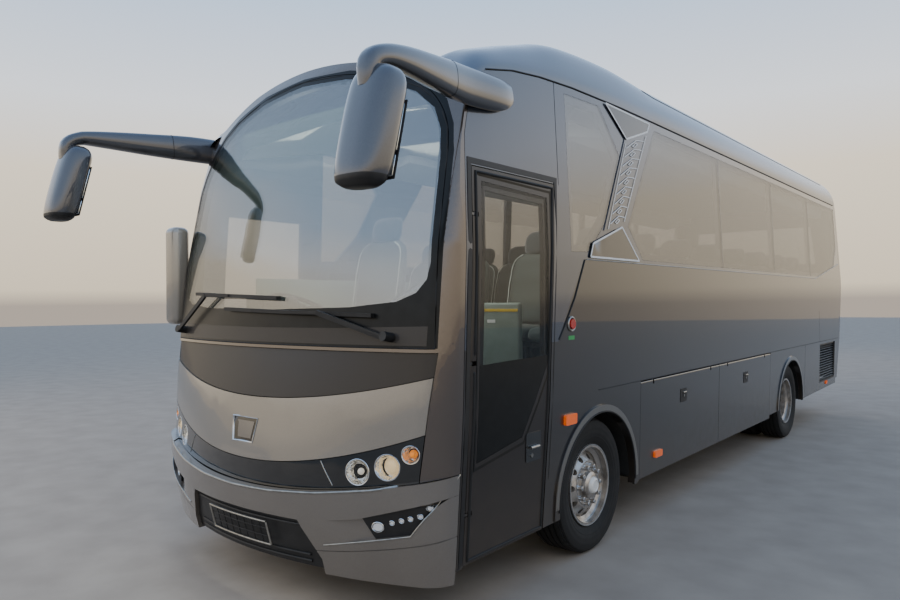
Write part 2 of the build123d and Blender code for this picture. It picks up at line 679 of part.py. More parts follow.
# Luggage bay leaves, each turning about a round bead along its upper edge
def bay_leaf(front, rear):
    def skin(z):
        return WAIST_HALF - 22 + (z - SKIRT_FRONT) * 22 / (WAIST - SKIRT_FRONT)
    low = skirt(BAY_FRONT) + 6
    with BuildPart() as leaf:
        with BuildSketch(Plane.XZ.offset(-(rear - DOOR_GAP / 2))):
            with BuildLine():
                Polyline((skin(low), low), (skin(BAY_PIN_Z), BAY_PIN_Z), (BAY_PIN_X - LEAF_THICK / 2, BAY_PIN_Z),
                         (skin(low) - LEAF_THICK, low), close=True)
            make_face()
            with Locations((BAY_PIN_X, BAY_PIN_Z)):
                Circle(LEAF_THICK / 2)
        extrude(amount=rear - front - DOOR_GAP)
        for y in bay_hinges(front, rear):
            with Locations((BAY_PIN_X, y, BAY_PIN_Z)):
                Box(60, EAR_THICK + 2 * DOOR_GAP, LEAF_THICK + 6, mode=Mode.SUBTRACT)
            with Locations(Location((BAY_PIN_X, y, BAY_PIN_Z), (90, 0, 0))):
                Cylinder(PIN_RADIUS + SEAT_FIT, EAR_THICK + 2 * PIN_REACH + 4, mode=Mode.SUBTRACT)
    return leaf.part


for number, (front, rear) in enumerate(BAYS):
    leaf = bay_leaf(front, rear)
    place = ("front", "rear")[number]
    save(leaf, f"bay_door_left_{place}")
    save(mirror(leaf, about=Plane.YZ), f"bay_door_right_{place}")

# Luggage hold between the axles, open at both sides behind the leaves
hold_low = skirt(BAY_FRONT) + 15
hold_high = FLOOR_TOP - FLOOR_THICK
with BuildPart() as hold:
    add(block((-HOLD_HALF, HOLD_HALF), (BAY_FRONT - 20, BAY_REAR + 20), (hold_low, hold_low + 25)))
    for y in (BAY_FRONT - 20, BAY_REAR - 5):
        add(block((-HOLD_HALF, HOLD_HALF), (y, y + 25), (hold_low, hold_high)))
    for x in (-HOLD_HALF, HOLD_HALF - 40):
        add(block((x, x + 40), (BAY_SPLIT - 20, BAY_SPLIT + 20), (hold_low, hold_high)))
save(hold.part, "luggage_hold")

# Passenger floor, cut away for the entrance steps
with BuildPart() as floor:
    add(INNER)
    add(zone([(FLOOR_FRONT, FLOOR_TOP - FLOOR_THICK), (TAIL, FLOOR_TOP - FLOOR_THICK), (TAIL, FLOOR_TOP),
              (FLOOR_FRONT, FLOOR_TOP)]), mode=Mode.INTERSECT)
    add(body_shell(mask_outer, front_solid(MASK_ROWS, 62, INNER), front_outline(BUMPER_TOP, POST_BEND)),
        mode=Mode.SUBTRACT)
    add(block((STEP_INNER, REACH), (STEP_FRONT, STEP_REAR), (0, 1200)), mode=Mode.SUBTRACT)
save(floor.part, "cabin_floor")

with BuildPart() as steps:
    rise = (FLOOR_TOP - STEP_LOW) / STEP_COUNT
    tread = (STEP_OUTER - STEP_INNER) / STEP_COUNT
    for number in range(STEP_COUNT):
        height = STEP_LOW + number * rise
        edge = STEP_OUTER - (number + 1) * tread
        add(block((STEP_INNER, edge + tread), (STEP_FRONT, STEP_REAR), (height - STEP_PLATE, height)))
        add(block((edge, edge + STEP_PLATE), (STEP_FRONT, STEP_REAR), (height, height + rise)))
save(steps.part, "entrance_steps")

# Roof, sitting on the sides along the gutter
with BuildPart() as roof:
    add(body_shell(OUTER, INNER, gutter_points(ROOF_NOSE, TAIL + 100) + [(TAIL + 100, ROOF_REAR + 100),
                                                                         (ROOF_NOSE, ROOF_REAR + 100)]))
save(roof.part, "roof")

# Rear wall with its window and the opening of the engine door
rear_zone = [(rear_line(SKIRT_TAIL), SKIRT_TAIL), (TAIL + 50, SKIRT_TAIL), (TAIL + 50, GUTTER),
             (rear_line(GUTTER), GUTTER), (rear_line(TAIL_KNEE), TAIL_KNEE)]
rear_shell = body_shell(OUTER, INNER, rear_zone)
PANE_HALF = WAIST_HALF - 275
rear_pane = [(-PANE_HALF, 2080), (PANE_HALF, 2080), (PANE_HALF - 60, 2720), (60 - PANE_HALF, 2720)]


def rear_prism(points, grow):
    with BuildPart() as prism:
        with BuildSketch(Plane.XZ.offset(-TAIL + 600)):
            with BuildLine():
                Polyline(*points, close=True)
            make_face()
            if grow:
                offset(amount=grow, kind=Kind.INTERSECTION)
        extrude(amount=-800)
    return prism.part


def tail_skin(z):
    """The rear face's place at one height below the knee."""
    return TAIL - (TAIL_KNEE - z) * TAIL_SLOPE


TAIL_LAMP = [(WAIST_HALF - 285, 760), (WAIST_HALF - 110, 760), (WAIST_HALF - 90, 1500), (WAIST_HALF - 230, 1500)]

with BuildPart() as rear:
    add(rear_shell)
    for side in (-1, 1):
        with BuildPart(mode=Mode.PRIVATE) as bed:
            add(rear_prism([(side * x, z) for x, z in TAIL_LAMP], 0))
            add(GLASS_BED, mode=Mode.SUBTRACT)
        add(bed.part, mode=Mode.SUBTRACT)
    with BuildPart(mode=Mode.PRIVATE) as bed:
        add(rear_prism(rear_pane, 0))
        add(GLASS_BED, mode=Mode.SUBTRACT)
    add(bed.part, mode=Mode.SUBTRACT)
    add(rear_prism(rear_pane, -45), mode=Mode.SUBTRACT)
    add(rear_prism([(-HATCH_HALF, HATCH_LOW), (HATCH_HALF, HATCH_LOW), (HATCH_HALF, HATCH_HIGH),
                    (-HATCH_HALF, HATCH_HIGH)], 0), mode=Mode.SUBTRACT)
    for x in (-500, 500):
        with Locations((x, HATCH_PIN_Y, HATCH_PIN_Z + EAR_HEIGHT / 2 - EAR_HALF)):
            Box(EAR_THICK, 2 * EAR_HALF, EAR_HEIGHT)
        with Locations(Location((x, HATCH_PIN_Y, HATCH_PIN_Z), (0, 90, 0))):
            Cylinder(PIN_RADIUS, EAR_THICK + 2 * PIN_REACH)
save(rear.part, "rear_wall")

with BuildPart() as rear_glass:
    add(OUTER)
    add(GLASS_BED, mode=Mode.SUBTRACT)
    add(rear_prism(rear_pane, -SKIN_GAP / 2), mode=Mode.INTERSECT)
save(rear_glass.part, "rear_window")

with BuildPart() as tail_lamps:
    for side in (-1, 1):
        with BuildPart(mode=Mode.PRIVATE) as lens:
            add(OUTER)
            add(GLASS_BED, mode=Mode.SUBTRACT)
            add(rear_prism([(side * x, z) for x, z in TAIL_LAMP], 0), mode=Mode.INTERSECT)
        add(lens.part)
save(tail_lamps.part, "tail_lamps")

# Engine door, turning about the bead along its upper edge
with BuildPart() as hatch:
    low = HATCH_LOW + DOOR_GAP
    with BuildSketch(Plane.YZ.offset(-HATCH_HALF + DOOR_GAP)):
        with BuildLine():
            Polyline((tail_skin(low), low), (tail_skin(HATCH_PIN_Z), HATCH_PIN_Z),
                     (tail_skin(HATCH_PIN_Z) - LEAF_THICK, HATCH_PIN_Z), (tail_skin(low) - LEAF_THICK, low), close=True)
        make_face()
        with Locations((HATCH_PIN_Y, HATCH_PIN_Z)):
            Circle(LEAF_THICK / 2)
    extrude(amount=2 * (HATCH_HALF - DOOR_GAP))
    for x in (-500, 500):
        with Locations((x, HATCH_PIN_Y, HATCH_PIN_Z)):
            Box(EAR_THICK + 2 * DOOR_GAP, 70, LEAF_THICK + 10, mode=Mode.SUBTRACT)
        with Locations(Location((x, HATCH_PIN_Y, HATCH_PIN_Z), (0, 90, 0))):
            Cylinder(PIN_RADIUS + SEAT_FIT, EAR_THICK + 2 * PIN_REACH + 4, mode=Mode.SUBTRACT)
save(hatch.part, "engine_door")


# Entrance door: a leaning leaf with one glazed opening, rounded about its hinge line
leaf_outline = [(DOOR_FRONT_LOW + DOOR_BEAD, DOOR_FOOT), (DOOR_FRONT_HIGH + DOOR_BEAD, DOOR_HEAD),
                (DOOR_REAR_HIGH, DOOR_HEAD), (DOOR_REAR_LOW, DOOR_FOOT)]
bead_outline = [(DOOR_FRONT_LOW - DOOR_GAP, DOOR_FOOT), (DOOR_FRONT_HIGH - DOOR_GAP, DOOR_HEAD),
                (DOOR_FRONT_HIGH + DOOR_BEAD, DOOR_HEAD), (DOOR_FRONT_LOW + DOOR_BEAD, DOOR_FOOT)]
door_skin = body_form(DOOR_THICK)
DOOR_PANE = [(-1180, 2225), (-553, 2205), (-578, 1274), (-858, 868), (-1265, 798)]
hinge_middle = door_pin((DOOR_FOOT + DOOR_HEAD) / 2)

with BuildPart() as door:
    add(body_shell(OUTER, door_skin, leaf_outline, 900, REACH))
    with BuildPart(mode=Mode.PRIVATE) as bead:
        with Locations(Location(hinge_middle, (-DOOR_LEAN, 0, 0))):
            Cylinder(DOOR_BEAD, 2400)
        add(zone(bead_outline, 900, REACH), mode=Mode.INTERSECT)
        add(OUTER, mode=Mode.INTERSECT)
    add(bead.part)
    with BuildPart(mode=Mode.PRIVATE) as bed:
        add(pane_zone(DOOR_PANE, 0, 0, REACH, CAB))
        add(GLASS_BED, mode=Mode.SUBTRACT)
    add(bed.part, mode=Mode.SUBTRACT)
    add(pane_zone(DOOR_PANE, -40, 0, REACH, CAB), mode=Mode.SUBTRACT)
    for height in DOOR_HINGES:
        pin = door_pin(height)
        with Locations(pin):
            Box(120, 2 * (DOOR_BEAD + 4), EAR_THICK + 2 * DOOR_GAP, mode=Mode.SUBTRACT)
        with Locations(Location(pin, (-DOOR_LEAN, 0, 0))):
            Cylinder(PIN_RADIUS + SEAT_FIT, EAR_THICK + 2 * PIN_REACH + 4, mode=Mode.SUBTRACT)
save(door.part, "entrance_door")

with BuildPart() as door_glass:
    add(OUTER)
    add(GLASS_BED, mode=Mode.SUBTRACT)
    add(pane_zone(DOOR_PANE, -SKIN_GAP / 2, 0, REACH, CAB), mode=Mode.INTERSECT)
save(door_glass.part, "entrance_door_glass")


# Wheels, each made about the X axis with its outer face towards +X
def turned(points):
    """A ring turned about the X axis from its (along, radius) outline."""
    with BuildPart() as ring:
        with BuildSketch():
            with BuildLine():
                Polyline(*points, close=True)
            make_face()
        revolve(axis=Axis.X)
    return ring.part


def tyre_ring(along):
    half = TYRE_WIDTH / 2
    bead = RIM_RADIUS - 10
    with BuildPart() as ring:
        with BuildSketch():
            with BuildLine() as outline:
                Line((along - half + 28, bead), (along + half - 28, bead))
                Line((along + half - 28, bead), (along + half - 28, RIM_RADIUS + 4))
                ThreePointArc((along + half - 28, RIM_RADIUS + 4), (along + half, (RIM_RADIUS + TYRE_RADIUS) / 2),
                              (along + half - 14, TYRE_RADIUS - 14))
                Line((along + half - 14, TYRE_RADIUS - 14), (along + half - 32, TYRE_RADIUS))
                Line((along + half - 32, TYRE_RADIUS), (along - half + 32, TYRE_RADIUS))
                Line((along - half + 32, TYRE_RADIUS), (along - half + 14, TYRE_RADIUS - 14))
                ThreePointArc((along - half + 14, TYRE_RADIUS - 14),
                              (along - half, (RIM_RADIUS + TYRE_RADIUS) / 2), (along - half + 28, RIM_RADIUS + 4))
                Line((along - half + 28, RIM_RADIUS + 4), (along - half + 28, bead))
            make_face()
        revolve(axis=Axis.X)
    return ring.part


def rim_barrel(along, turn=1):
    """The steel barrel between a tyre's beads, its well towards the wheel disc."""
    seat = RIM_RADIUS - 10 - SEAT_FIT
    edge = TYRE_WIDTH / 2 - 28
    rows = [(-edge - 9, RIM_RADIUS), (-edge - SEAT_FIT, RIM_RADIUS), (-edge - SEAT_FIT, seat), (-60, seat), (-44, seat - 30),
            (44, seat - 30), (60, seat), (edge + SEAT_FIT, seat), (edge + SEAT_FIT, RIM_RADIUS),
            (edge + 9, RIM_RADIUS), (edge + 9, seat - 9), (64, seat - 9), (49, seat - 38), (-49, seat - 38),
            (-64, seat - 9), (-edge - 9, seat - 9)]
    return turned([(along + turn * a, r) for a, r in rows])


HOLE_CIRCLE = 172
HAND_HOLES = 10
NUT_CIRCLE = 118
NUTS = 10


def bore_pattern(circle, count, radius, along, length):
    """Holes, or pins, that lie parallel to the axle on a circle."""
    with BuildPart() as pins:
        for number in range(count):
            angle = 360 * number / count
            y = circle * math.cos(math.radians(angle))
            z = circle * math.sin(math.radians(angle))
            with Locations(Location((along, y, z), (0, 90, 0))):
                Cylinder(radius, length)
    return pins.part


well = RIM_RADIUS - 10 - SEAT_FIT - 38
hub_bore = SPINDLE_RADIUS + SEAT_FIT
with BuildPart() as front_rim:
    add(rim_barrel(0))
    add(turned([(20, well + 4), (34, well + 4), (62, 175), (84, 150), (88, 88), (112, 82), (124, 60), (126, 0),
                (60, 0), (60, hub_bore), (-78, hub_bore), (-78, 78), (70, 84), (68, 142), (48, 162), (20, well - 8)]))
    add(bore_pattern(HOLE_CIRCLE, HAND_HOLES, 19, 50, 100), mode=Mode.SUBTRACT)
    add(bore_pattern(NUT_CIRCLE, NUTS, 15, 98, 36))

with BuildPart() as rear_rim:
    add(rim_barrel(0))
    add(rim_barrel(-TWIN_SPACING))
    middle = -TWIN_SPACING / 2
    add(turned([(-44, well + 4), (-30, well + 4), (-70, 176), (middle + 14, 160), (middle + 14, 96), (-20, 84),
                (-10, 60), (-10, 0), (-50, 0), (-50, hub_bore), (middle - 60, hub_bore), (middle - 60, 96),
                (middle - 14, 96), (middle - 14, 160), (-TWIN_SPACING + 70, 176), (-TWIN_SPACING + 30, well + 4),
                (-TWIN_SPACING + 44, well + 4), (-TWIN_SPACING + 44, well - 8), (-TWIN_SPACING + 84, 180),
                (middle, 172), (-84, 180), (-44, well - 8)]))
    add(bore_pattern(NUT_CIRCLE, NUTS, 15, middle + 24, 30))
    add(bore_pattern(HOLE_CIRCLE, HAND_HOLES, 17, middle, TWIN_SPACING), mode=Mode.SUBTRACT)


def save_wheel(piece, name, axle):
    """Places a wheel piece on both ends of an axle."""
    left_piece = piece.moved(Location((WHEEL_OUT, axle, TYRE_RADIUS)))
    save(left_piece, f"{name}_left")
    save(mirror(left_piece, about=Plane.YZ), f"{name}_right")


with BuildPart() as twin:
    add(tyre_ring(0))
    add(tyre_ring(-TWIN_SPACING))
save_wheel(tyre_ring(0), "front_tyre", AXLE_F)
save_wheel(front_rim.part, "front_rim", AXLE_F)
save_wheel(twin.part, "rear_tyres", AXLE_R)
save_wheel(rear_rim.part, "rear_rims", AXLE_R)

# Steering knuckle: a fork about the beam's eye, with the spindle that the hub turns on
with BuildPart() as knuckle:
    for rise in (-1, 1):
        with Locations((KINGPIN_OUT + 10, AXLE_F, TYRE_RADIUS + rise * (EYE_HALF + 5 + 17))):
            Box(100, 80, 34)
    with Locations((KINGPIN_OUT + EYE_RADIUS + 14, AXLE_F, TYRE_RADIUS)):
        Box(18, 80, 2 * EYE_HALF + 10 + 68)
    with Locations((KINGPIN_OUT, AXLE_F, TYRE_RADIUS)):
        Cylinder(PIVOT_RADIUS, 2 * EYE_HALF + 60)
    with Locations(Location((KINGPIN_OUT + 60, AXLE_F, TYRE_RADIUS), (0, 90, 0))):
        Cylinder(SPINDLE_RADIUS, WHEEL_OUT + 55 - KINGPIN_OUT - 60, align=(Align.CENTER, Align.CENTER, Align.MIN))
save(knuckle.part, "knuckle_left")
save(mirror(knuckle.part, about=Plane.YZ), "knuckle_right")

# Front axle beam with its eyes and air springs
with BuildPart() as beam:
    with BuildSketch(Plane.XZ.offset(-AXLE_F - 38)):
        with BuildLine():
            Polyline((0, BEAM_LOW), (620, BEAM_LOW), (800, TYRE_RADIUS - EYE_HALF),
                     (KINGPIN_OUT, TYRE_RADIUS - EYE_HALF), (KINGPIN_OUT, TYRE_RADIUS + EYE_HALF),
                     (770, TYRE_RADIUS + EYE_HALF), (600, BEAM_LOW + 85), (0, BEAM_LOW + 85))
            mirror(about=Plane.YZ)
        make_face()
    extrude(amount=76)
    for side in (-1, 1):
        with Locations((side * KINGPIN_OUT, AXLE_F, TYRE_RADIUS)):
            Cylinder(EYE_RADIUS, 2 * EYE_HALF)
            Cylinder(PIVOT_RADIUS + SEAT_FIT, 200, mode=Mode.SUBTRACT)
        with Locations((side * SPRING_OUT, AXLE_F, BEAM_LOW + 85)):
            Cylinder(88, RAIL_LOW - BEAM_LOW - 85, align=(Align.CENTER, Align.CENTER, Align.MIN))
save(beam.part, "front_axle")

# Rear axle with its differential housing, spindles and air springs
with BuildPart() as drive:
    with BuildSketch(Plane(origin=(0, AXLE_R, TYRE_RADIUS), x_dir=(1, 0, 0), z_dir=(0, 0, 1))):
        with BuildLine():
            tube = WHEEL_OUT - TWIN_SPACING - 150
            end = WHEEL_OUT - 55
            Polyline((0, 170), (110, 160), (230, 72), (tube, 72), (tube, SPINDLE_RADIUS), (end, SPINDLE_RADIUS), (end, 0))
            mirror(about=Plane.YZ)
            Line((-end, 0), (end, 0))
        make_face()
    revolve(axis=Axis((0, AXLE_R, TYRE_RADIUS), (1, 0, 0)))
    for side in (-1, 1):
        for end in (-1, 1):
            with Locations((side * SPRING_OUT, AXLE_R + end * 260, RAIL_LOW - 150)):
                Cylinder(88, 150, align=(Align.CENTER, Align.CENTER, Align.MIN))
        add(block((side * (SPRING_OUT - 45), side * (SPRING_OUT + 45)), (AXLE_R - 340, AXLE_R + 340),
                  (RAIL_LOW - 190, RAIL_LOW - 150)))
save(drive.part, "rear_axle")

# Chassis: two rails ahead of the hold and two behind it, joined by cross members
with BuildPart() as chassis:
    for side in (-1, 1):
        with BuildPart(mode=Mode.PRIVATE) as horn:
            add(block((side * RAIL_IN, side * RAIL_OUT), (NOSE, AXLE_F - 100), (RAIL_LOW, RAIL_LOW + RAIL_DEEP)))
            add(front_solid(BUMPER_ROWS, BULKHEAD_BACK, INNER), mode=Mode.INTERSECT)
            add(bulkhead.part, mode=Mode.SUBTRACT)
        add(horn.part)
        add(block((side * RAIL_IN, side * RAIL_OUT), (AXLE_F - 100, BAY_FRONT - 20), (RAIL_LOW, RAIL_LOW + RAIL_DEEP)))
        add(block((side * RAIL_IN, side * RAIL_OUT), (BAY_REAR + 20, TAIL - 480), (RAIL_LOW, RAIL_LOW + RAIL_DEEP)))
    for y in (AXLE_F - 1450, AXLE_F - 600, AXLE_F + 450, BAY_REAR + 60, AXLE_R + 420, AXLE_R + 2380):
        add(block((-RAIL_IN, RAIL_IN), (y, y + 60), (RAIL_LOW + 20, RAIL_LOW + RAIL_DEEP - 20)))
    for y in (AXLE_F - 1450, AXLE_F + 450, BAY_REAR + 60, AXLE_R + 900, AXLE_R + 2380):
        for side in (-1, 1):
            add(block((side * RAIL_IN, side * (RAIL_IN + 50)), (y, y + 60), (RAIL_LOW + RAIL_DEEP, FLOOR_TOP - FLOOR_THICK)))
    for y in JACK_PLACES:
        for side in (-1, 1):
            add(block((side * RAIL_IN, side * RAIL_OUT), (y, y + JACK_PAD), (RAIL_LOW - JACK_THICK, RAIL_LOW)))
save(chassis.part, "chassis_frame")

with BuildPart() as engine:
    add(block((-RAIL_IN, RAIL_IN), (AXLE_R + 1150, AXLE_R + 2300), (RAIL_LOW - 120, FLOOR_TOP - FLOOR_THICK - 60)))
save(engine.part, "engine_block")

# Dashboard across the cab side, with the steering column and wheel behind it
with BuildPart() as dash:
    add(zone([(CAB - 1410, FLOOR_TOP), (CAB - 1440, 1440), (CAB - 1300, 1500), (CAB - 1120, 1560), (CAB - 1000, 1540),
              (CAB - 960, 1420), (CAB - 1060, 1200), (CAB - 1080, FLOOR_TOP)], -DASH_HALF, 330))
save(dash.part, "dashboard")

with BuildPart() as steering:
    with Locations(Location((-DRIVER_OUT, CAB - 880, 1575), (-25, 0, 0))):
        Torus(222, 15)
        Cylinder(50, 40)
        Box(430, 34, 14)
        Cylinder(24, 380, align=(Align.CENTER, Align.CENTER, Align.MAX))
    add(dash.part, mode=Mode.SUBTRACT)
save(steering.part, "steering_wheel")


def seat(centre, y, width, cushion, top):
    """A plain seat: a base, a cushion and a raked back, with its back's foot at y."""
    with BuildPart() as piece:
        with BuildSketch(Plane.YZ.offset(centre - width / 2)):
            with BuildLine():
                Polyline((y - 330, FLOOR_TOP), (y - 330, cushion - 120), (y - 440, cushion - 110), (y - 460, cushion),
                         (y - 10, cushion - 20), (y + 120, top), (y + 210, top), (y + 110, cushion - 120),
                         (y - 60, cushion - 120), (y - 60, FLOOR_TOP), close=True)
            make_face()
        extrude(amount=width)
    return piece.part


save(seat(-DRIVER_OUT, CAB - 120, 500, 1470, 2300), "driver_seat")
for side, name, start in ((1, "left", SEAT_START), (-1, "right", SEAT_START + 340)):
    with BuildPart() as row:
        for number in range(SEAT_ROWS):
            add(seat(side * SEAT_OUT, AXLE_F + start + number * SEAT_PITCH, SEAT_PAIR, 1440, 2150))
    save(row.part, f"seats_{name}")

# Mirror: an arm that sweeps forward from the roof corner, and the head that hangs at its end
# Arm stations: (out from the waist, behind the cab's datum, height, width, depth)
ARM_ROWS = [(-23, -925, 2716, 56, 112), (-15, -1040, 2692, 88, 168), (10, -1350, 2668, 100, 178),
            (73, -1650, 2642, 100, 148), (130, -1900, 2618, 96, 112), (163, -2070, 2588, 90, 84),
            (171, -2150, 2540, 86, 74), (172, -2165, 2440, 70, 50)]
# Head stations: (height above its foot, behind its foremost line, width, depth)
HEAD_ROWS = [(0, 24, 150, 100), (28, 0, 206, 158), (120, 12, 226, 178), (260, 52, 232, 178), (360, 82, 226, 168),
             (410, 106, 188, 132), (428, 124, 130, 90)]
HEAD_FOOT = 2046

with BuildPart() as door_mirror:
    spine = [Vector(WAIST_HALF + x, CAB + y, z) for x, y, z, width, depth in ARM_ROWS]
    arm_faces = []
    for number, (x, y, z, width, depth) in enumerate(ARM_ROWS):
        ahead = spine[min(number + 1, len(spine) - 1)] - spine[max(number - 1, 0)]
        across = Vector(0, 0, 1).cross(ahead)
        with BuildSketch(Plane(origin=spine[number], x_dir=across, z_dir=ahead)) as arm_face:
            RectangleRounded(width, depth, 0.42 * min(width, depth))
        arm_faces.append(arm_face.sketch)
    loft(sections=arm_faces, ruled=True)
    head_faces = []
    for rise, back, width, depth in HEAD_ROWS:
        with BuildSketch(Plane.XY.offset(HEAD_FOOT + rise)) as head_face:
            with Locations((MIRROR_OUT, NOSE - MIRROR_REACH + back + depth / 2)):
                RectangleRounded(width, depth, 0.4 * depth)
        head_faces.append(head_face.sketch)
    loft(sections=head_faces, ruled=True)
    add(OUTER, mode=Mode.SUBTRACT)
save(door_mirror.part, "mirror_left")
save(mirror(door_mirror.part, about=Plane.YZ), "mirror_right")


# Wipers: each a pivot on the post, a two-part arm and a blade that lies on the glass
def screen_point(x, z, proud):
    """A point ahead of the windscreen at one place seen from the front."""
    rows = [row for row in MASK_ROWS if row[0] >= SCREEN_FOOT]
    (low, low_back, radius), (high, high_back, other) = rows[0], rows[1]
    back = low_back + (high_back - low_back) * (z - low) / (high - low)
    return Vector(x, NOSE + back + radius - math.sqrt(radius ** 2 - x ** 2) - proud, z)


def bar(start, end, width, depth):
    """A straight bar of rectangular section between two points."""
    with BuildPart() as stick:
        with BuildSketch(Plane(origin=start, x_dir=(0, 0, 1), z_dir=end - start)):
            Rectangle(width, depth)
        extrude(amount=(end - start).length)
    return stick.part


# (pivot, elbow, blade's inner end, blade's outer end), each as (x, z)
WIPERS = [((930, 1436), (500, 1560), (-363, 1580), (826, 1545)),
          ((-1010, 1440), (-600, 1664), (-800, 1676), (153, 1640))]
with BuildPart() as wipers:
    for pivot, elbow, inner, outer in WIPERS:
        hub = screen_point(*pivot, 0)
        knee = screen_point(*elbow, 52)
        tip = screen_point((inner[0] + outer[0]) / 2, (inner[1] + outer[1]) / 2, 34)
        with Locations(Location(hub, (80, 0, 0))):
            Cylinder(24, 62, align=(Align.CENTER, Align.CENTER, Align.MIN))
        add(bar(screen_point(*pivot, 50), knee, 26, 15))
        add(bar(knee, tip, 16, 12))
        chord = [screen_point(inner[0] + (outer[0] - inner[0]) * share, inner[1] + (outer[1] - inner[1]) * share, 18)
                 for share in (0, 0.25, 0.5, 0.75, 1)]
        for start, end in zip(chord, chord[1:]):
            add(bar(start, end, 20, 30))
    add(mask_outer, mode=Mode.SUBTRACT)
save(wipers.part, "wipers")

# Louvred panels in the openings beside the engine
with BuildPart() as louvres:
    high = GRILLE_HIGH - GRILLE_LOW
    with BuildPart(mode=Mode.PRIVATE) as frame:
        add(block((WAIST_HALF - 38, WAIST_HALF - 16), (GRILLE_FRONT, GRILLE_REAR), (GRILLE_LOW, GRILLE_HIGH)))
        add(block((WAIST_HALF - 60, WAIST_HALF), (GRILLE_FRONT + 25, GRILLE_REAR - 25),
                  (GRILLE_LOW + 25, GRILLE_HIGH - 25)), mode=Mode.SUBTRACT)
    add(frame.part)
    for number in range(SLATS):
        z = GRILLE_LOW + 25 + (number + 0.5) * (high - 50) / SLATS
        with Locations(Location((WAIST_HALF - 27, (GRILLE_FRONT + GRILLE_REAR) / 2, z), (0, 35, 0))):
            Box(22, GRILLE_REAR - GRILLE_FRONT - 40, 5)
    mirror(about=Plane.YZ)
save(louvres.part, "side_grilles")

# Handrail beside the entrance steps
with BuildPart() as rail:
    with BuildLine() as route:
        FilletPolyline((STEP_INNER - 30, STEP_REAR - 20, FLOOR_TOP), (STEP_INNER - 30, STEP_REAR - 20, 1750),
                       (STEP_INNER - 30, STEP_REAR - 420, 1620), (STEP_INNER - 30, STEP_REAR - 420, FLOOR_TOP), radius=90)
    with BuildSketch(Plane(origin=route.line @ 0, z_dir=route.line % 0)):
        Circle(16)
    sweep()
save(rail.part, "entrance_rail")
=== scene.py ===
import json
import math

import bmesh
import bpy
from mathutils import Matrix, Vector
from mathutils.bvhtree import BVHTree


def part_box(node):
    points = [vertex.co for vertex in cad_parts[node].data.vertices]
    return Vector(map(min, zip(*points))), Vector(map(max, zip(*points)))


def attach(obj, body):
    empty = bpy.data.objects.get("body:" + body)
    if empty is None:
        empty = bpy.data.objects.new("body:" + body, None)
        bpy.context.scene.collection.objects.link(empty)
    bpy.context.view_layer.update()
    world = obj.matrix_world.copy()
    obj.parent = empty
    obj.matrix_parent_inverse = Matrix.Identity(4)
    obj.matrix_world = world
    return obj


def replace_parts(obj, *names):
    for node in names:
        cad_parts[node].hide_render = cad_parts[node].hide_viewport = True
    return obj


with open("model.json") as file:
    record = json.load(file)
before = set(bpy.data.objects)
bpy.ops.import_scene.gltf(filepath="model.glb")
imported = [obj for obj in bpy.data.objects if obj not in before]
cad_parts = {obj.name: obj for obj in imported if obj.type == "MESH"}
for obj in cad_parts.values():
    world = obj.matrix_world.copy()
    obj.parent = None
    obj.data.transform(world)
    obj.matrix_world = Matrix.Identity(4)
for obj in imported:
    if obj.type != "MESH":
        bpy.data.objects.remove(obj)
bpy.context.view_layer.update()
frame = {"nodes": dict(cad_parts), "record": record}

# The bus stands with its front towards -Y and its entrance side towards +X. A is the front axle's place,
# which places along the bus are measured from.
nodes = frame["nodes"]
body_of_node = {node: body for body, members in frame["record"]["behaviour"]["bodies"].items() for node in members}
A = (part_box("front_tyre_left")[0].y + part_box("front_tyre_left")[1].y) / 2
axle_rear = (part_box("rear_tyres_left")[0].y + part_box("rear_tyres_left")[1].y) / 2
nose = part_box("front_bumper")[0].y

# Camera: at eye height, off the left front corner of the bus,
# with a lens of 28 mm on a 36 mm wide sensor, tipped a touch as in the photograph.
camera = bpy.data.objects.new("camera", bpy.data.cameras.new("camera"))
bpy.context.scene.collection.objects.link(camera)
camera.data.lens = 27.95
camera.data.sensor_width = 36
camera.data.clip_end = 200
turn = Matrix.Rotation(math.radians(39.61), 4, "Z")
tilt = Matrix.Rotation(math.radians(90.16), 4, "X")
roll = Matrix.Rotation(math.radians(-0.567), 4, "Z")
camera.matrix_world = Matrix.Translation((3.338, -6.6935, 1.608)) @ turn @ tilt @ roll
bpy.context.scene.camera = camera


def linear(code):
    """An sRGB hex colour as the linear RGBA that a shader takes."""
    channels = [int(code[i:i + 2], 16) / 255 for i in (1, 3, 5)]
    return [c / 12.92 if c <= 0.04045 else ((c + 0.055) / 1.055) ** 2.4 for c in channels] + [1]


def add_node(tree, kind, inputs=None, **settings):
    """Adds one node with its settings, and fills or links the inputs that are given."""
    made = tree.nodes.new(kind)
    for name, value in settings.items():
        setattr(made, name, value)
    for key, value in (inputs or {}).items():
        if isinstance(value, bpy.types.NodeSocket):
            tree.links.new(value, made.inputs[key])
        else:
            made.inputs[key].default_value = value
    return made


def new_material(name, **sockets):
    """A material with one Principled shader, its sockets set, and its object coordinates."""
    material = bpy.data.materials.new(name)
    material.use_nodes = True
    tree = material.node_tree
    shader = tree.nodes["Principled BSDF"]
    for key, value in sockets.items():
        shader.inputs[key.replace("_", " ")].default_value = value
    place = add_node(tree, "ShaderNodeTexCoord").outputs["Object"]
    return material, tree, shader, place


def shade_between(tree, factor, stops):
    """A colour ramp between hex colours at stated places."""
    ramp = add_node(tree, "ShaderNodeValToRGB", {"Fac": factor})
    elements = ramp.color_ramp.elements
    elements[0].position, elements[0].color = stops[0][0], linear(stops[0][1])
    elements[1].position, elements[1].color = stops[-1][0], linear(stops[-1][1])
    for position, code in stops[1:-1]:
        elements.new(position).color = linear(code)
    return ramp.outputs["Color"]


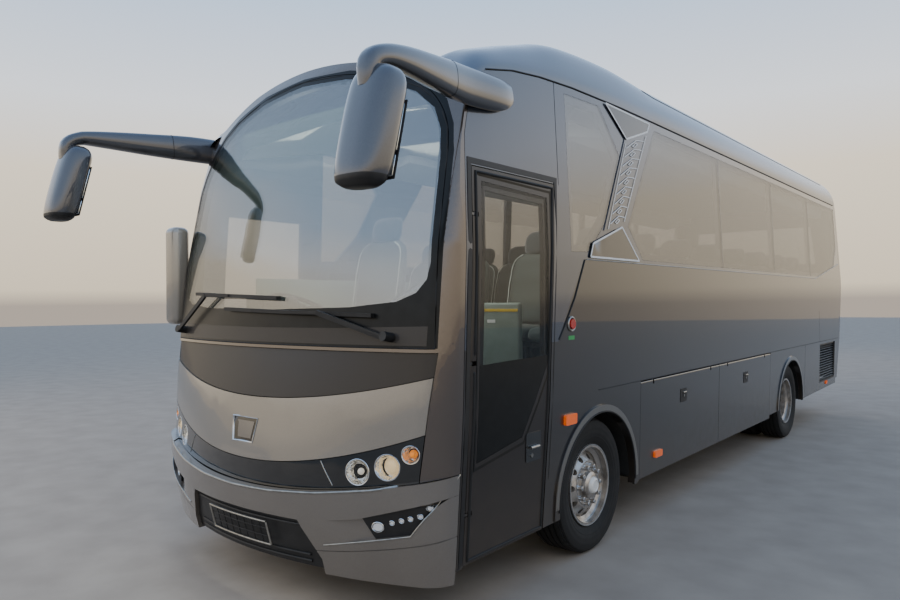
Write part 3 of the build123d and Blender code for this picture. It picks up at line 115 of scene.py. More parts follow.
# Studio: a pale floor under plain soft light. The dome is warm and bright low down and blue above,
# as an open street is, so that the paint and the glass have something to reflect.
floor_mesh = bmesh.new()
bmesh.ops.create_circle(floor_mesh, cap_ends=True, segments=96, radius=60)
floor_data = bpy.data.meshes.new("floor")
floor_mesh.to_mesh(floor_data)
floor_mesh.free()
floor = bpy.data.objects.new("floor", floor_data)
bpy.context.scene.collection.objects.link(floor)
concrete, tree, shader, place = new_material("pale concrete", Roughness=0.75)
speckle = add_node(tree, "ShaderNodeTexNoise", {"Vector": place, "Scale": 3, "Detail": 6})
tree.links.new(shade_between(tree, speckle.outputs["Fac"], [(0.3, "#857d74"), (0.7, "#938b81")]),
               shader.inputs["Base Color"])
floor_data.materials.append(concrete)

world = bpy.data.worlds.new("soft dome")
bpy.context.scene.world = world
world.use_nodes = True
sky = world.node_tree
direction = add_node(sky, "ShaderNodeTexCoord").outputs["Generated"]
height = add_node(sky, "ShaderNodeSeparateXYZ", {"Vector": direction}).outputs["Z"]
dome = shade_between(sky, height, [(0.0, "#9d9388"), (0.02, "#d3c5ad"), (0.17, "#e6d9c4"), (0.26, "#e4e8ee"),
                                   (0.4, "#b6cdea"), (1.0, "#8aaad6")])
sky.links.new(dome, sky.nodes["Background"].inputs["Color"])
sky.nodes["Background"].inputs["Strength"].default_value = 1.6


def soft_light(name, spot, aim, size, power, colour):
    """A large area light that looks at a point. The glass reflects the dome alone."""
    light = bpy.data.lights.new(name, "AREA")
    light.shape = "RECTANGLE"
    light.size, light.size_y = size
    light.energy = power
    light.color = linear(colour)[:3]
    lamp = bpy.data.objects.new(name, light)
    lamp.location = spot
    lamp.visible_glossy = False
    lamp.rotation_euler = (Vector(aim) - Vector(spot)).to_track_quat("-Z", "Y").to_euler()
    bpy.context.scene.collection.objects.link(lamp)


soft_light("key", (9, -9, 9), (0, -2, 1.5), (7, 5), 380, "#fff3e2")
soft_light("fill", (-9, -11, 6), (0, -3, 1.5), (6, 5), 900, "#fff1dd")
soft_light("cabin", (0, -3.4, 2.78), (0, -3.2, 1), (1.2, 2.6), 100, "#eef3ee")
soft_light("rim", (-6, 14, 9), (0, 3, 2), (8, 4), 350, "#ffe9cf")


# Painted shell: aluminium and fibreglass panels sprayed in two coats, a dark metallic base and a
# clear lacquer. The base is a little lighter where the flakes face up, and the skirt carries road dust.
def show(shape, name, material, body, crease=35):
    """Turns a finished bmesh into a piece that rides on a body, with its edges past the crease kept sharp."""
    for face in shape.faces:
        face.smooth = True
    for edge in shape.edges:
        edge.smooth = edge.is_manifold and edge.calc_face_angle(0) < math.radians(crease)
    mesh = bpy.data.meshes.new(name)
    shape.to_mesh(mesh)
    shape.free()
    for finish in material if isinstance(material, (list, tuple)) else [material]:
        mesh.materials.append(finish)
    piece = bpy.data.objects.new(name, mesh)
    bpy.context.scene.collection.objects.link(piece)
    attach(piece, body)
    return piece


def skin_of(node):
    """A CAD node's mesh as a bmesh with its corners merged."""
    shape = bmesh.new()
    shape.from_mesh(nodes[node].data)
    bmesh.ops.remove_doubles(shape, verts=shape.verts, dist=0.00004)
    return shape


def finish_node(node, material, crease=32):
    """A smooth copy of a CAD node in its real finish, which stands for that node."""
    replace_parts(show(skin_of(node), node + "_finished", material, body_of_node[node], crease), node)


# Metallic enamel. The flakes are about 0.2 mm across, drawn at 1.5 mm so that they show at all.
FLAKE_SCALE = 700
LACQUER = {"Coat_Weight": 1.0, "Coat_Roughness": 0.02, "Coat_IOR": 1.62}


def enamel(name, deep, bright, metallic=0.55, roughness=0.34, **more):
    """Coach enamel between two shades, with road dust that thickens towards the skirt."""
    material, tree, shader, place = new_material(name, Metallic=metallic, **{**LACQUER, **more})
    flakes = add_node(tree, "ShaderNodeTexVoronoi", {"Vector": place, "Scale": FLAKE_SCALE})
    clouds = add_node(tree, "ShaderNodeTexNoise", {"Vector": place, "Scale": 1.3, "Detail": 3})
    mixed = add_node(tree, "ShaderNodeMath", {0: flakes.outputs["Color"], 1: clouds.outputs["Fac"]},
                     operation="ADD")
    half = add_node(tree, "ShaderNodeMath", {0: mixed.outputs[0], 1: 0.5}, operation="MULTIPLY")
    tone = shade_between(tree, half.outputs[0], [(0.25, deep), (0.75, bright)])
    rise = add_node(tree, "ShaderNodeSeparateXYZ", {"Vector": place}).outputs["Z"]
    dusty = add_node(tree, "ShaderNodeMapRange", {"Value": rise, "From Min": 0.85, "From Max": 0.3,
                                                  "To Max": 0.3})
    grit = add_node(tree, "ShaderNodeTexNoise", {"Vector": place, "Scale": 9, "Detail": 8, "Roughness": 0.7})
    amount = add_node(tree, "ShaderNodeMath", {0: dusty.outputs[0], 1: grit.outputs["Fac"]},
                      operation="MULTIPLY")
    coat = add_node(tree, "ShaderNodeMix", {"Factor": amount.outputs[0], 6: tone, 7: linear("#75695a")},
                    data_type="RGBA")
    tree.links.new(coat.outputs[2], shader.inputs["Base Color"])
    rough = add_node(tree, "ShaderNodeMapRange", {"Value": amount.outputs[0], "To Min": roughness,
                                                  "To Max": 0.75,
                                                  "From Max": 0.4})
    tree.links.new(rough.outputs[0], shader.inputs["Roughness"])
    return material


graphite = enamel("graphite coach enamel", "#1f1c1a", "#2a2523", 0.5, 0.3)
# The upper wall's lighter blue-grey is two-tone paint and, in part, a painted reflection of the sky.
upper_grey = enamel("upper wall enamel and painted sky reflection", "#363c48", "#434956", 0.55, 0.26)
roof_grey = enamel("roof enamel", "#414854", "#525966")
# The bonnet panel's darker paint is partly its own colour and partly a painted dark reflection off its tilted
# face.
bonnet_dark = enamel("bonnet enamel and painted reflection", "#26221f", "#312c28", 0.3, 0.5, Coat_Weight=0.25)
mask_grey = enamel("mask enamel", "#7d7973", "#8f8a83", 0.55, 0.3)
bumper_grey = enamel("bumper enamel", "#6b6763", "#7b7671", 0.55, 0.3)
post_bronze = enamel("post enamel", "#4d4541", "#665c55", 0.75, 0.22)

# Moulded black trim: ABS and EPDM rubber with a fine pebble grain, a millimetre or two across.
GRAIN_SCALE = 600


def grained(name, colour, roughness, depth=0.15, **more):
    """A moulded plastic or rubber with its grain."""
    material, tree, shader, place = new_material(name, Roughness=roughness, **more)
    grain = add_node(tree, "ShaderNodeTexNoise", {"Vector": place, "Scale": GRAIN_SCALE, "Detail": 2})
    patch = add_node(tree, "ShaderNodeTexNoise", {"Vector": place, "Scale": 14, "Detail": 4})
    lighter = "#" + "".join(f"{min(255, int(colour[i:i + 2], 16) + 10):02x}" for i in (1, 3, 5))
    tree.links.new(shade_between(tree, patch.outputs["Fac"], [(0.35, colour), (0.7, lighter)]),
                   shader.inputs["Base Color"])
    bump = add_node(tree, "ShaderNodeBump", {"Height": grain.outputs["Fac"], "Strength": depth,
                                             "Distance": 0.0006})
    tree.links.new(bump.outputs["Normal"], shader.inputs["Normal"])
    return material


black_trim = grained("moulded black ABS", "#141415", 0.45)
rubber_seal = grained("EPDM seal rubber", "#0c0c0d", 0.62)
gloss_black = grained("gloss black acrylic", "#08090a", 0.08, 0.0, Coat_Weight=1.0)
underbody = grained("underbody wax", "#1b1a19", 0.6, 0.5)

for side in ("left", "right"):
    for place_name in ("front", "rear"):
        finish_node(f"bay_door_{side}_{place_name}", graphite)
finish_node("rear_wall", graphite)
finish_node("engine_door", graphite)
finish_node("roof", roof_grey, 20)
finish_node("front_bumper", bumper_grey, 24)
finish_node("front_mask", mask_grey, 24)
finish_node("hood_panel", bonnet_dark, 24)
finish_node("lamp_band", gloss_black, 24)
finish_node("bumper_insert", black_trim, 24)
for node in ("front_bulkhead", "chassis_frame", "engine_block", "front_axle", "rear_axle", "luggage_hold",
             "knuckle_left", "knuckle_right"):
    finish_node(node, underbody)

# Small things that lie on a panel are laid on it by a ray from straight ahead of it, so that each
# follows the panel's bow. A panel is looked up by its node's name.
trees = {}
BEAD_STEP = 0.05
AHEAD = {"front": Vector((0, 1, 0)), "left": Vector((-1, 0, 0)), "right": Vector((1, 0, 0)),
         "rear": Vector((0, -1, 0)),
         "top": Vector((0, 0, -1))}


def on_skin(node, view, point, proud=0.0):
    """The point of a skin that lies behind a point of its view, moved proud of it. Names of nodes
    with a plus between them stand for all of them."""
    if node not in trees:
        shape = join([skin_of(part) for part in node.split("+")])
        trees[node] = BVHTree.FromBMesh(shape)
        shape.free()
    ray = AHEAD[view]
    start = Vector(point) - ray * 12
    found = trees[node].ray_cast(start, ray)[0] or trees[node].find_nearest(Vector(point))[0]
    return found - ray * proud


def seen(view, u, v):
    """A point of a view as a point in space: across and up for the front, along and up for a side."""
    if view in ("front", "rear"):
        return Vector((u, 0, v))
    if view == "top":
        return Vector((u, v, 0))
    return Vector((0, u, v))


def flat_sheet(view, outline):
    """A face with a stated outline, square to a view."""
    shape = bmesh.new()
    bmesh.ops.contextual_create(shape, geom=[shape.verts.new(seen(view, u, v)) for u, v in outline])
    return shape


def laid(shape, node, view, proud, thick):
    """A flat sheet laid on a panel and drawn out to its thickness."""
    for vert in shape.verts:
        vert.co = on_skin(node, view, vert.co, proud)
    lid = bmesh.ops.extrude_face_region(shape, geom=shape.faces[:])
    bmesh.ops.translate(shape, verts=[g for g in lid["geom"] if isinstance(g, bmesh.types.BMVert)],
                        vec=AHEAD[view] * thick)
    bmesh.ops.recalc_face_normals(shape, faces=shape.faces[:])
    return shape


def plate(node, view, outline, proud, thick, step=0.1, corner=0.0):
    """A thin sheet cut to an outline and laid on a panel. It is cut up at each step so that it bends."""
    shape = flat_sheet(view, outline)
    if corner:
        bmesh.ops.bevel(shape, geom=shape.verts[:], offset=corner, segments=5, affect="VERTICES", profile=0.5,
                        material=-1)
    for axis in range(3):
        places = [vert.co[axis] for vert in shape.verts]
        low, high = min(places), max(places)
        for number in range(1, int((high - low) / step) + 1):
            normal = Vector([1.0 if a == axis else 0.0 for a in range(3)])
            bmesh.ops.bisect_plane(shape, geom=shape.verts[:] + shape.edges[:] + shape.faces[:],
                                   plane_co=normal * (low + number * step), plane_no=normal)
    bmesh.ops.triangulate(shape, faces=shape.faces[:])
    return laid(shape, node, view, proud, thick)


def frame_plate(node, view, outline, width, proud, thick):
    """A plate with its middle cut out, which leaves a border of a stated width."""
    shape = flat_sheet(view, outline)
    border = bmesh.ops.inset_region(shape, faces=shape.faces[:], thickness=width, use_even_offset=True,
                                    use_boundary=True)["faces"]
    bmesh.ops.delete(shape, geom=[face for face in shape.faces if face not in border], context="FACES")
    bmesh.ops.subdivide_edges(shape, edges=[edge for edge in shape.edges if edge.calc_length() > 0.12],
                              cuts=6,
                              use_grid_fill=True)
    bmesh.ops.triangulate(shape, faces=shape.faces[:])
    return laid(shape, node, view, proud, thick)


def swept(curve, radius, resolution):
    """The round sweep of a curve, as a bmesh."""
    curve.dimensions = "3D"
    curve.bevel_depth = radius
    curve.bevel_resolution = resolution
    curve.use_fill_caps = True
    holder = bpy.data.objects.new("sweep", curve)
    mesh = bpy.data.meshes.new_from_object(holder)
    shape = bmesh.new()
    shape.from_mesh(mesh)
    bpy.data.objects.remove(holder)
    bpy.data.curves.remove(curve)
    bpy.data.meshes.remove(mesh)
    bmesh.ops.recalc_face_normals(shape, faces=shape.faces[:])
    return shape


def bead(node, view, line, radius, proud=0.0, closed=False):
    """A round bead, such as a seal or a chrome strip, along a line laid on a panel, as a bmesh."""
    route = []
    ends = line + line[:1] if closed else line
    for start, end in zip(ends, ends[1:]):
        span = (Vector(end) - Vector(start)).length
        count = max(1, int(span / BEAD_STEP))
        route += [Vector(start).lerp(Vector(end), number / count) for number in range(count)]
    if not closed:
        route.append(Vector(ends[-1]))
    curve = bpy.data.curves.new("bead", "CURVE")
    run = curve.splines.new("POLY")
    run.points.add(len(route) - 1)
    for point, spot in zip(run.points, route):
        point.co = (*on_skin(node, view, seen(view, *spot), proud), 1)
    run.use_cyclic_u = closed
    return swept(curve, radius, 2)


def join(shapes):
    """Several bmeshes as one."""
    whole = bmesh.new()
    for shape in shapes:
        mesh = bpy.data.meshes.new("part")
        shape.to_mesh(mesh)
        shape.free()
        whole.from_mesh(mesh)
        bpy.data.meshes.remove(mesh)
    return whole


def turned_over(shape):
    """The same shape on the other side of the bus."""
    bmesh.ops.scale(shape, verts=shape.verts[:], vec=(-1, 1, 1))
    bmesh.ops.recalc_face_normals(shape, faces=shape.faces[:])
    return shape


def both_sides(make):
    """What make gives for the left side, and its mirror image, as one bmesh."""
    return join([make(), turned_over(make())])


def box_shape(low, high, round_by, segments=2):
    """A box between two corners with its edges rounded."""
    shape = bmesh.new()
    low, high = Vector(low), Vector(high)
    bmesh.ops.create_cube(shape, size=1, matrix=Matrix.Translation((low + high) / 2) @ Matrix.Diagonal(
        (*(high - low), 1)))
    bmesh.ops.bevel(shape, geom=shape.edges[:], offset=round_by, segments=segments, affect="EDGES",
                    profile=0.5,
                    material=-1)
    return shape


def spun(profile, centre, axis, segments=64):
    """A shape turned about an axis from (along, radius) pairs."""
    shape = bmesh.new()
    axis = Vector(axis).normalized()
    across = axis.orthogonal().normalized()
    centre = Vector(centre)
    line = [shape.verts.new(centre + axis * along + across * radius) for along, radius in profile]
    edges = [shape.edges.new(pair) for pair in zip(line, line[1:])]
    bmesh.ops.spin(shape, geom=line + edges, cent=centre, axis=axis, angle=math.tau, steps=segments,
                   use_merge=True)
    bmesh.ops.remove_doubles(shape, verts=shape.verts[:], dist=0.00002)
    bmesh.ops.recalc_face_normals(shape, faces=shape.faces[:])
    return shape


# Polished metal: chrome plate on the lamp rims and wheel trims, bare aluminium on the thin strips.
chrome, tree, shader, place = new_material("chrome plate", Base_Color=linear("#d6d7d8"), Metallic=1.0,
                                           Roughness=0.09)
smear = add_node(tree, "ShaderNodeTexNoise", {"Vector": place, "Scale": 25, "Detail": 5})
rough = add_node(tree, "ShaderNodeMapRange", {"Value": smear.outputs["Fac"], "To Min": 0.05, "To Max": 0.2})
tree.links.new(rough.outputs[0], shader.inputs["Roughness"])
satin_strip, tree, shader, place = new_material("satin aluminium strip", Base_Color=linear("#a5a39e"),
                                                Metallic=1.0,
                                                Roughness=0.3)
streak = add_node(tree, "ShaderNodeTexNoise", {"Vector": place, "Scale": 40, "Detail": 4})
tree.links.new(shade_between(tree, streak.outputs["Fac"], [(0.3, "#96948f"), (0.7, "#b3b1ab")]),
               shader.inputs["Base Color"])

# Bumper: a sprayed fibreglass moulding with a grille of bars in the intake and a bare number plate holder,
# all clipped or bonded on. A bright satin bead along its upper edge stands for that edge's painted highlight.
BUMPER_LINE = [(-1.16, 0.762), (-0.9, 0.708), (-0.6, 0.668), (-0.3, 0.645), (0, 0.637), (0.3, 0.645), (0.6,
                                                                                                       0.668),
               (0.9, 0.708), (1.16, 0.762)]
# A bright satin bead along the bumper's top edge: a painted highlight of that edge.
show(bead("front_bumper", "front", BUMPER_LINE, 0.006, 0.001), "bumper_edge_highlight", satin_strip, "body")

intake_bars = [bead("bumper_insert", "front", [(-0.5, z), (0, z - 0.004), (0.5, z)], 0.007, 0.002)
               for z in (0.29, 0.325, 0.485)]
show(join(intake_bars), "intake_bars", black_trim, "body")

half, low, high = 0.262, 0.343, 0.472
HOLDER_COLUMNS, HOLDER_ROWS = 8, 3
corners = [(-half, low), (half, low), (half, high), (-half, high)]
rim = [bead("bumper_insert", "front", list(line), 0.006, 0.032) for line in zip(corners,
                                                                                corners[1:] + corners[:1])]
show(join(rim), "plate_holder_rim", satin_strip, "body")
columns = [-half + number * 2 * half / HOLDER_COLUMNS for number in range(1, HOLDER_COLUMNS)]
levels = [low + number * (high - low) / HOLDER_ROWS for number in range(1, HOLDER_ROWS)]
bars = [[(x, low), (x, high)] for x in columns] + [[(-half, z), (half, z)] for z in levels]
show(join([bead("bumper_insert", "front", bar, 0.0028, 0.025) for bar in bars]), "plate_holder", black_trim,
     "body")

# Lower lamps: one oval fog lamp and five small diodes in a black bed, each with a bright rim.
# The lenses are clear polycarbonate over a white source.
lamp_white, tree, shader, place = new_material("lamp reflector", Base_Color=linear("#f2f1ec"), Metallic=1.0,
                                               Roughness=0.16, Emission_Color=linear("#fff3dc"),
                                               Emission_Strength=0.12)
facets = add_node(tree, "ShaderNodeTexVoronoi", {"Vector": place, "Scale": 70})
bump = add_node(tree, "ShaderNodeBump", {"Height": facets.outputs["Distance"], "Strength": 0.6,
                                         "Distance": 0.004})
tree.links.new(bump.outputs["Normal"], shader.inputs["Normal"])
diode_white, tree, shader, place = new_material("diode lens", Base_Color=linear("#b9bcc0"), Roughness=0.08,
                                                Emission_Color=linear("#f4f8ff"), Emission_Strength=0.12,
                                                Coat_Weight=1.0)
bulb_amber, tree, shader, place = new_material("amber bulb", Base_Color=linear("#e07a1a"), Roughness=0.15,
                                               Emission_Color=linear("#ff9a2e"), Emission_Strength=0.5)
bulb_warm, tree, shader, place = new_material("projector lens", Base_Color=linear("#ffe2b0"), Roughness=0.05,
                                              Emission_Color=linear("#ffdca0"), Emission_Strength=0.45,
                                              Coat_Weight=1.0)


def oval(x, z, wide, tall, tilt=0.0, count=24):
    """Points of an oval seen from the front."""
    points = []
    for number in range(count):
        angle = math.tau * number / count
        u, v = wide * math.cos(angle), tall * math.sin(angle)
        points.append((x + u * math.cos(tilt) - v * math.sin(tilt),
                       z + u * math.sin(tilt) + v * math.cos(tilt)))
    return points


DIODES = [(0.985, 0.553), (1.03, 0.567), (1.072, 0.579), (1.115, 0.593), (1.15, 0.632)]
FOG = (0.915, 0.527, 0.024, 0.019, 0.25)


def lower_lenses():
    spots = [plate("bumper_insert", "front", oval(x, z, 0.0078, 0.0078), 0.004, 0.006, 0.1) for x,
             z in DIODES]
    return join(spots + [plate("bumper_insert", "front", oval(*FOG), 0.004, 0.006, 0.1)])


def lower_rims():
    rings = [bead("bumper_insert", "front", oval(x, z, 0.0112, 0.0112), 0.0028, 0.004, True) for x,
             z in DIODES]
    return join(rings + [bead("bumper_insert", "front", oval(FOG[0], FOG[1], 0.029, 0.024, FOG[4]), 0.0035,
                              0.004,
                              True)])


show(both_sides(lower_lenses), "lower_lamp_lenses", diode_white, "body")
show(both_sides(lower_rims), "lower_lamp_rims", chrome, "body")
SCOOP_EDGE = [(0.62, 0.402), (0.76, 0.432), (0.9, 0.462), (1.078, 0.5), (1.205, 0.672)]
show(both_sides(lambda: bead("front_bumper", "front", SCOOP_EDGE, 0.004, 0.001)), "scoop_strips", satin_strip,
     "body")

# Lamps of the band: chromed bowls with their bulbs, behind clear lenses. The outermost is the amber
# indicator, and the middle one is a projector with a thick lens.
clear_lens, tree, shader, place = new_material("clear polycarbonate", Base_Color=linear("#10140f"),
                                               Roughness=0.0,
                                               Alpha=0.14, IOR=2.0)
bulb_glass, tree, shader, place = new_material("bulb glass", Base_Color=linear("#f7f3e8"), Roughness=0.08,
                                               Emission_Color=linear("#fff2d8"), Emission_Strength=0.3)
LAMPS = [(0.797, 0.778, 0.062), (0.950, 0.812, 0.062), (1.062, 0.880, 0.042)]
LAMP_NODE = "head_lamps"


def lamp_bowl(x, z, radius):
    """A bowl whose rim lies on the band and whose foot lies behind it, from three rings."""
    shape = bmesh.new()
    middle = on_skin(LAMP_NODE, "front", Vector((x, 0, z)))
    rings = []
    for share, depth in ((1.0, 0.0), (0.82, 0.026), (0.3, 0.044)):
        ring = bmesh.ops.create_circle(shape, segments=40, radius=radius * share,
                                       matrix=Matrix.Translation((x, middle.y + depth, z)) @ Matrix.Rotation(
                                           math.pi / 2, 4, "X"), cap_ends=share < 0.5)["verts"]
        if share == 1.0:
            for vert in ring:
                vert.co = on_skin(LAMP_NODE, "front", vert.co, -0.002)
        rings.append(ring)
    for inner, outer in zip(rings, rings[1:]):
        edges = [edge for edge in shape.edges
                 if (edge.verts[0] in inner and edge.verts[1] in inner)
                 or (edge.verts[0] in outer and edge.verts[1] in outer)]
        bmesh.ops.bridge_loops(shape, edges=edges)
    bmesh.ops.recalc_face_normals(shape, faces=shape.faces[:])
    for face in shape.faces:
        if face.normal.y > 0:
            face.normal_flip()
    return shape


def bowls():
    return join([lamp_bowl(x, z, radius) for x, z, radius in LAMPS])


def lenses():
    return join([plate(LAMP_NODE, "front", oval(x, z, radius, radius, 0, 40), 0.004, 0.003, 0.03)
                 for x, z, radius in LAMPS])


def lamp_rims():
    return join([bead(LAMP_NODE, "front", oval(x, z, radius + 0.001, radius + 0.001, 0, 40), 0.0042, 0.003,
                      True)
                 for x, z, radius in LAMPS])


def ball(x, z, radius, depth, flatten):
    """A round bulb or lens in the middle of a bowl."""
    shape = bmesh.new()
    middle = on_skin(LAMP_NODE, "front", Vector((x, 0, z)))
    bmesh.ops.create_uvsphere(shape, u_segments=24, v_segments=16, radius=radius,
                              matrix=Matrix.Translation((x, middle.y + depth, z)) @ Matrix.Diagonal(
                                  (1, flatten, 1, 1)))
    return shape


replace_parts(show(both_sides(bowls), "lamp_bowls", lamp_white, "body"), LAMP_NODE)
show(both_sides(lenses), "lamp_lenses", clear_lens, "body")
show(both_sides(lamp_rims), "lamp_rims", chrome, "body")
for (x, z, rim_radius), (name, finish, *sizes) in zip(LAMPS, (("lamp_bulbs", bulb_glass, 0.017, 0.022, 1.0),
                                                            ("projector_lenses", bulb_warm, 0.044, 0.026,
                                                             0.45),
                                                            ("indicator_bulbs", bulb_amber, 0.021, 0.018,
                                                             1.0))):
    show(both_sides(lambda: ball(x, z, *sizes)), name, finish, "body")
LAMP_SEAM = [(0.585, 0.815), (0.66, 0.70)]
show(both_sides(lambda: bead("lamp_band", "front", LAMP_SEAM, 0.003, 0.0005)), "lamp_unit_seams", satin_strip,
     "body")

# Badge place: a bare gloss tablet in the mask's recess, with a chromed frame round it and a sprayed tile
# in its middle. All three are bonded on.
BADGE = [(-0.118, 0.983), (0.098, 0.983), (0.073, 0.852), (-0.093, 0.852)]
show(plate("front_mask", "front", BADGE, 0.004, 0.006, 0.05, 0.01), "badge_tablet", gloss_black, "body")
show(bead("front_mask", "front", BADGE, 0.0065, 0.004, True), "badge_frame", chrome, "body")
BADGE_MIDDLE = 0.917
show(plate("front_mask", "front", [(u * 0.72, BADGE_MIDDLE + (v - BADGE_MIDDLE) * 0.7) for u, v in BADGE],
           0.006, 0.004,
           0.05),
     "badge_tile", bumper_grey, "body")

# Windscreen: laminated glass, bonded in, with a black ceramic border that is fired on along its edges.
# The border is wide at the foot, where the wipers park, and rises at the lower corners.
wind_glass, tree, shader, place = new_material("laminated windscreen glass", Base_Color=linear("#2a342e"),
                                               Roughness=0.0, Alpha=0.43, IOR=5.0, Coat_Weight=0.5,
                                               Coat_Roughness=0.0)
ceramic = grained("fired black ceramic", "#070808", 0.3, 0.0, Specular_IOR_Level=0.3)
FOOT = 1.385
SCREEN_HALF = [(0, 2.932), (0.39, 2.898), (0.7, 2.822), (0.9, 2.735), (1.036, 2.62), (1.1, 2.49), (1.123,
                                                                                                   2.35),
               (1.153, FOOT)]
CLEAR_HALF = [(0, 2.905), (0.385, 2.872), (0.685, 2.798), (0.88, 2.712), (1.008, 2.604), (1.066, 2.48),
              (1.088, 2.345),
              (1.108, 1.80), (1.095, 1.72), (1.045, 1.655), (0.94, 1.612), (0.66, 1.586), (0, 1.575)]


def closed_line(half):
    """A half outline and its mirror image, as one closed outline."""
    return half + [(-u, v) for u, v in reversed(half) if u]


def inside(outline, u, v):
    """Whether a point lies inside a closed outline."""
    hit = False
    for (u0, v0), (u1, v1) in zip(outline, outline[1:] + outline[:1]):
        if (v0 > v) != (v1 > v) and u < u0 + (v - v0) * (u1 - u0) / (v1 - v0):
            hit = not hit
    return hit


def bordered(shape, view, outline):
    """Cuts a pane's mesh along an outline, and gives what lies outside it the second material."""
    for (u0, v0), (u1, v1) in zip(outline, outline[1:] + outline[:1]):
        start, end = seen(view, u0, v0), seen(view, u1, v1)
        bmesh.ops.bisect_plane(shape, geom=shape.verts[:] + shape.edges[:] + shape.faces[:], dist=0.00002,
                               plane_co=start, plane_no=(end - start).cross(AHEAD[view]).normalized())
    for face in shape.faces:
        middle = face.calc_center_median()
        across = middle.x if view == "front" else middle.y
        face.material_index = 0 if inside(outline, across, middle.z) else 1
    return shape


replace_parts(show(bordered(skin_of("windscreen"), "front", closed_line(CLEAR_HALF)), "windscreen_pane",
                 [wind_glass, ceramic], "body", 24), "windscreen")
finish_node("wipers", black_trim)
BLACK_HALF = [(0, 2.953), (0.39, 2.925), (0.715, 2.85), (0.925, 2.76), (1.068, 2.645), (1.13, 2.505), (1.157,
                                                                                                       2.36),
              (1.162, 2.1), (1.164, FOOT)]
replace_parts(show(bordered(skin_of("windscreen_surround"), "front", closed_line(BLACK_HALF)), "screen_frame",
                 [ceramic, post_bronze], "body", 24), "windscreen_surround")
show(plate("windscreen+windscreen_surround", "front", [(-1.12, FOOT + 0.012), (1.12, FOOT + 0.012), (1.12,
                                                                                                     1.492),
                                                      (0.6, 1.48), (0, 1.476), (-0.6, 1.48), (-1.12, 1.492)],
           0.001, 0.005, 0.06), "screen_ledge", bonnet_dark, "body")
EDGE_LINE = closed_line(SCREEN_HALF + [(0.6, FOOT), (0, FOOT)])
show(bead("windscreen", "front", EDGE_LINE, 0.0035, -0.001, True), "windscreen_seal", rubber_seal, "body")

# Side and rear glass: toughened panes with a dark tint that mirrors the street, bonded flush. The driver's
# window, in the far side ahead of the axle, is clear.
dark_glass, tree, shader, place = new_material("tinted side glass", Base_Color=linear("#0c0f10"),
                                               Roughness=0.01,
                                               Coat_Weight=1.0, Coat_Roughness=0.0, IOR=3.4, Alpha=0.52)
tint = add_node(tree, "ShaderNodeTexNoise", {"Vector": place, "Scale": 0.7, "Detail": 2})
tree.links.new(shade_between(tree, tint.outputs["Fac"], [(0.3, "#0a0d0e"), (0.7, "#121617")]),
               shader.inputs["Base Color"])
door_glass, tree, shader, place = new_material("clear door glass", Base_Color=linear("#151a18"),
                                               Roughness=0.0,
                                               Alpha=0.26, IOR=2.0)
finish_node("side_glass_left", dark_glass)
finish_node("rear_window", dark_glass)
driver_side = skin_of("side_glass_right")
for face in driver_side.faces:
    face.material_index = 1 if face.calc_center_median().y < A - 0.35 else 0
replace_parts(show(driver_side, "side_glass_right_finished", [dark_glass, door_glass], "body"),
            "side_glass_right")

# Side walls: the same panels in two tones, the lighter above the glass line and ahead of the slanted
# seam, the darker below; the lighter tone's blue-grey is partly a painted sky reflection. At the rear the darker
# paint kicks up over the end of the last pane.
BELT = 1.862
UPPER_ZONE = [(-1.5, 3.1), (7.8, 3.1), (7.8, 2.16), (7.453, 2.106), (5.967, BELT), (-0.148, BELT), (-0.47,
                                                                                                    1.37),
              (-1.5, 1.37)]
for side_name in ("left", "right"):
    wall = show(bordered(skin_of(f"side_wall_{side_name}"), side_name, [(A + u, v) for u, v in UPPER_ZONE]),
                f"side_wall_{side_name}_finished", [upper_grey, graphite], "body", 32)
    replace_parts(wall, f"side_wall_{side_name}")
SIDE_SKIN = "side_wall_left+side_glass_left"
show(both_sides(lambda: plate(SIDE_SKIN, "left", [(A + 6.02, BELT + 0.008), (A + 7.44, BELT + 0.008),
                                                 (A + 7.44, 2.10)], 0.003, 0.003, 0.1)), "rear_kicks",
                                                 graphite,
     "body")
# A bright satin bead along the foot of the glass stands for the highlight on the paint's edge there: a painted
# highlight.
show(both_sides(lambda: bead(SIDE_SKIN, "left", [(A - 0.12, BELT + 0.004), (A + 5.98, BELT + 0.004),
                                                (A + 7.45, 2.104)], 0.003, 0.0015)), "belt_highlight_strips",
                                                satin_strip,
     "body")

# Door glass: one bonded pane, clear in its upper part. Below the hand rail it is blacked out with the
# same fired ceramic as the windscreen's border.
DOOR_CLEAR = [(A - 1.192, 2.228), (A - 0.56, 2.212), (A - 0.585, 1.30), (A - 1.238, 1.285)]
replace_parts(show(bordered(skin_of("entrance_door_glass"), "left", DOOR_CLEAR), "door_pane", [door_glass,
                                                                                             ceramic],
                 "entrance_door"), "entrance_door_glass")

def oblong(u0, u1, v0, v1):
    """The outline of an upright rectangle."""
    return [(u0, v0), (u1, v0), (u1, v1), (u0, v1)]


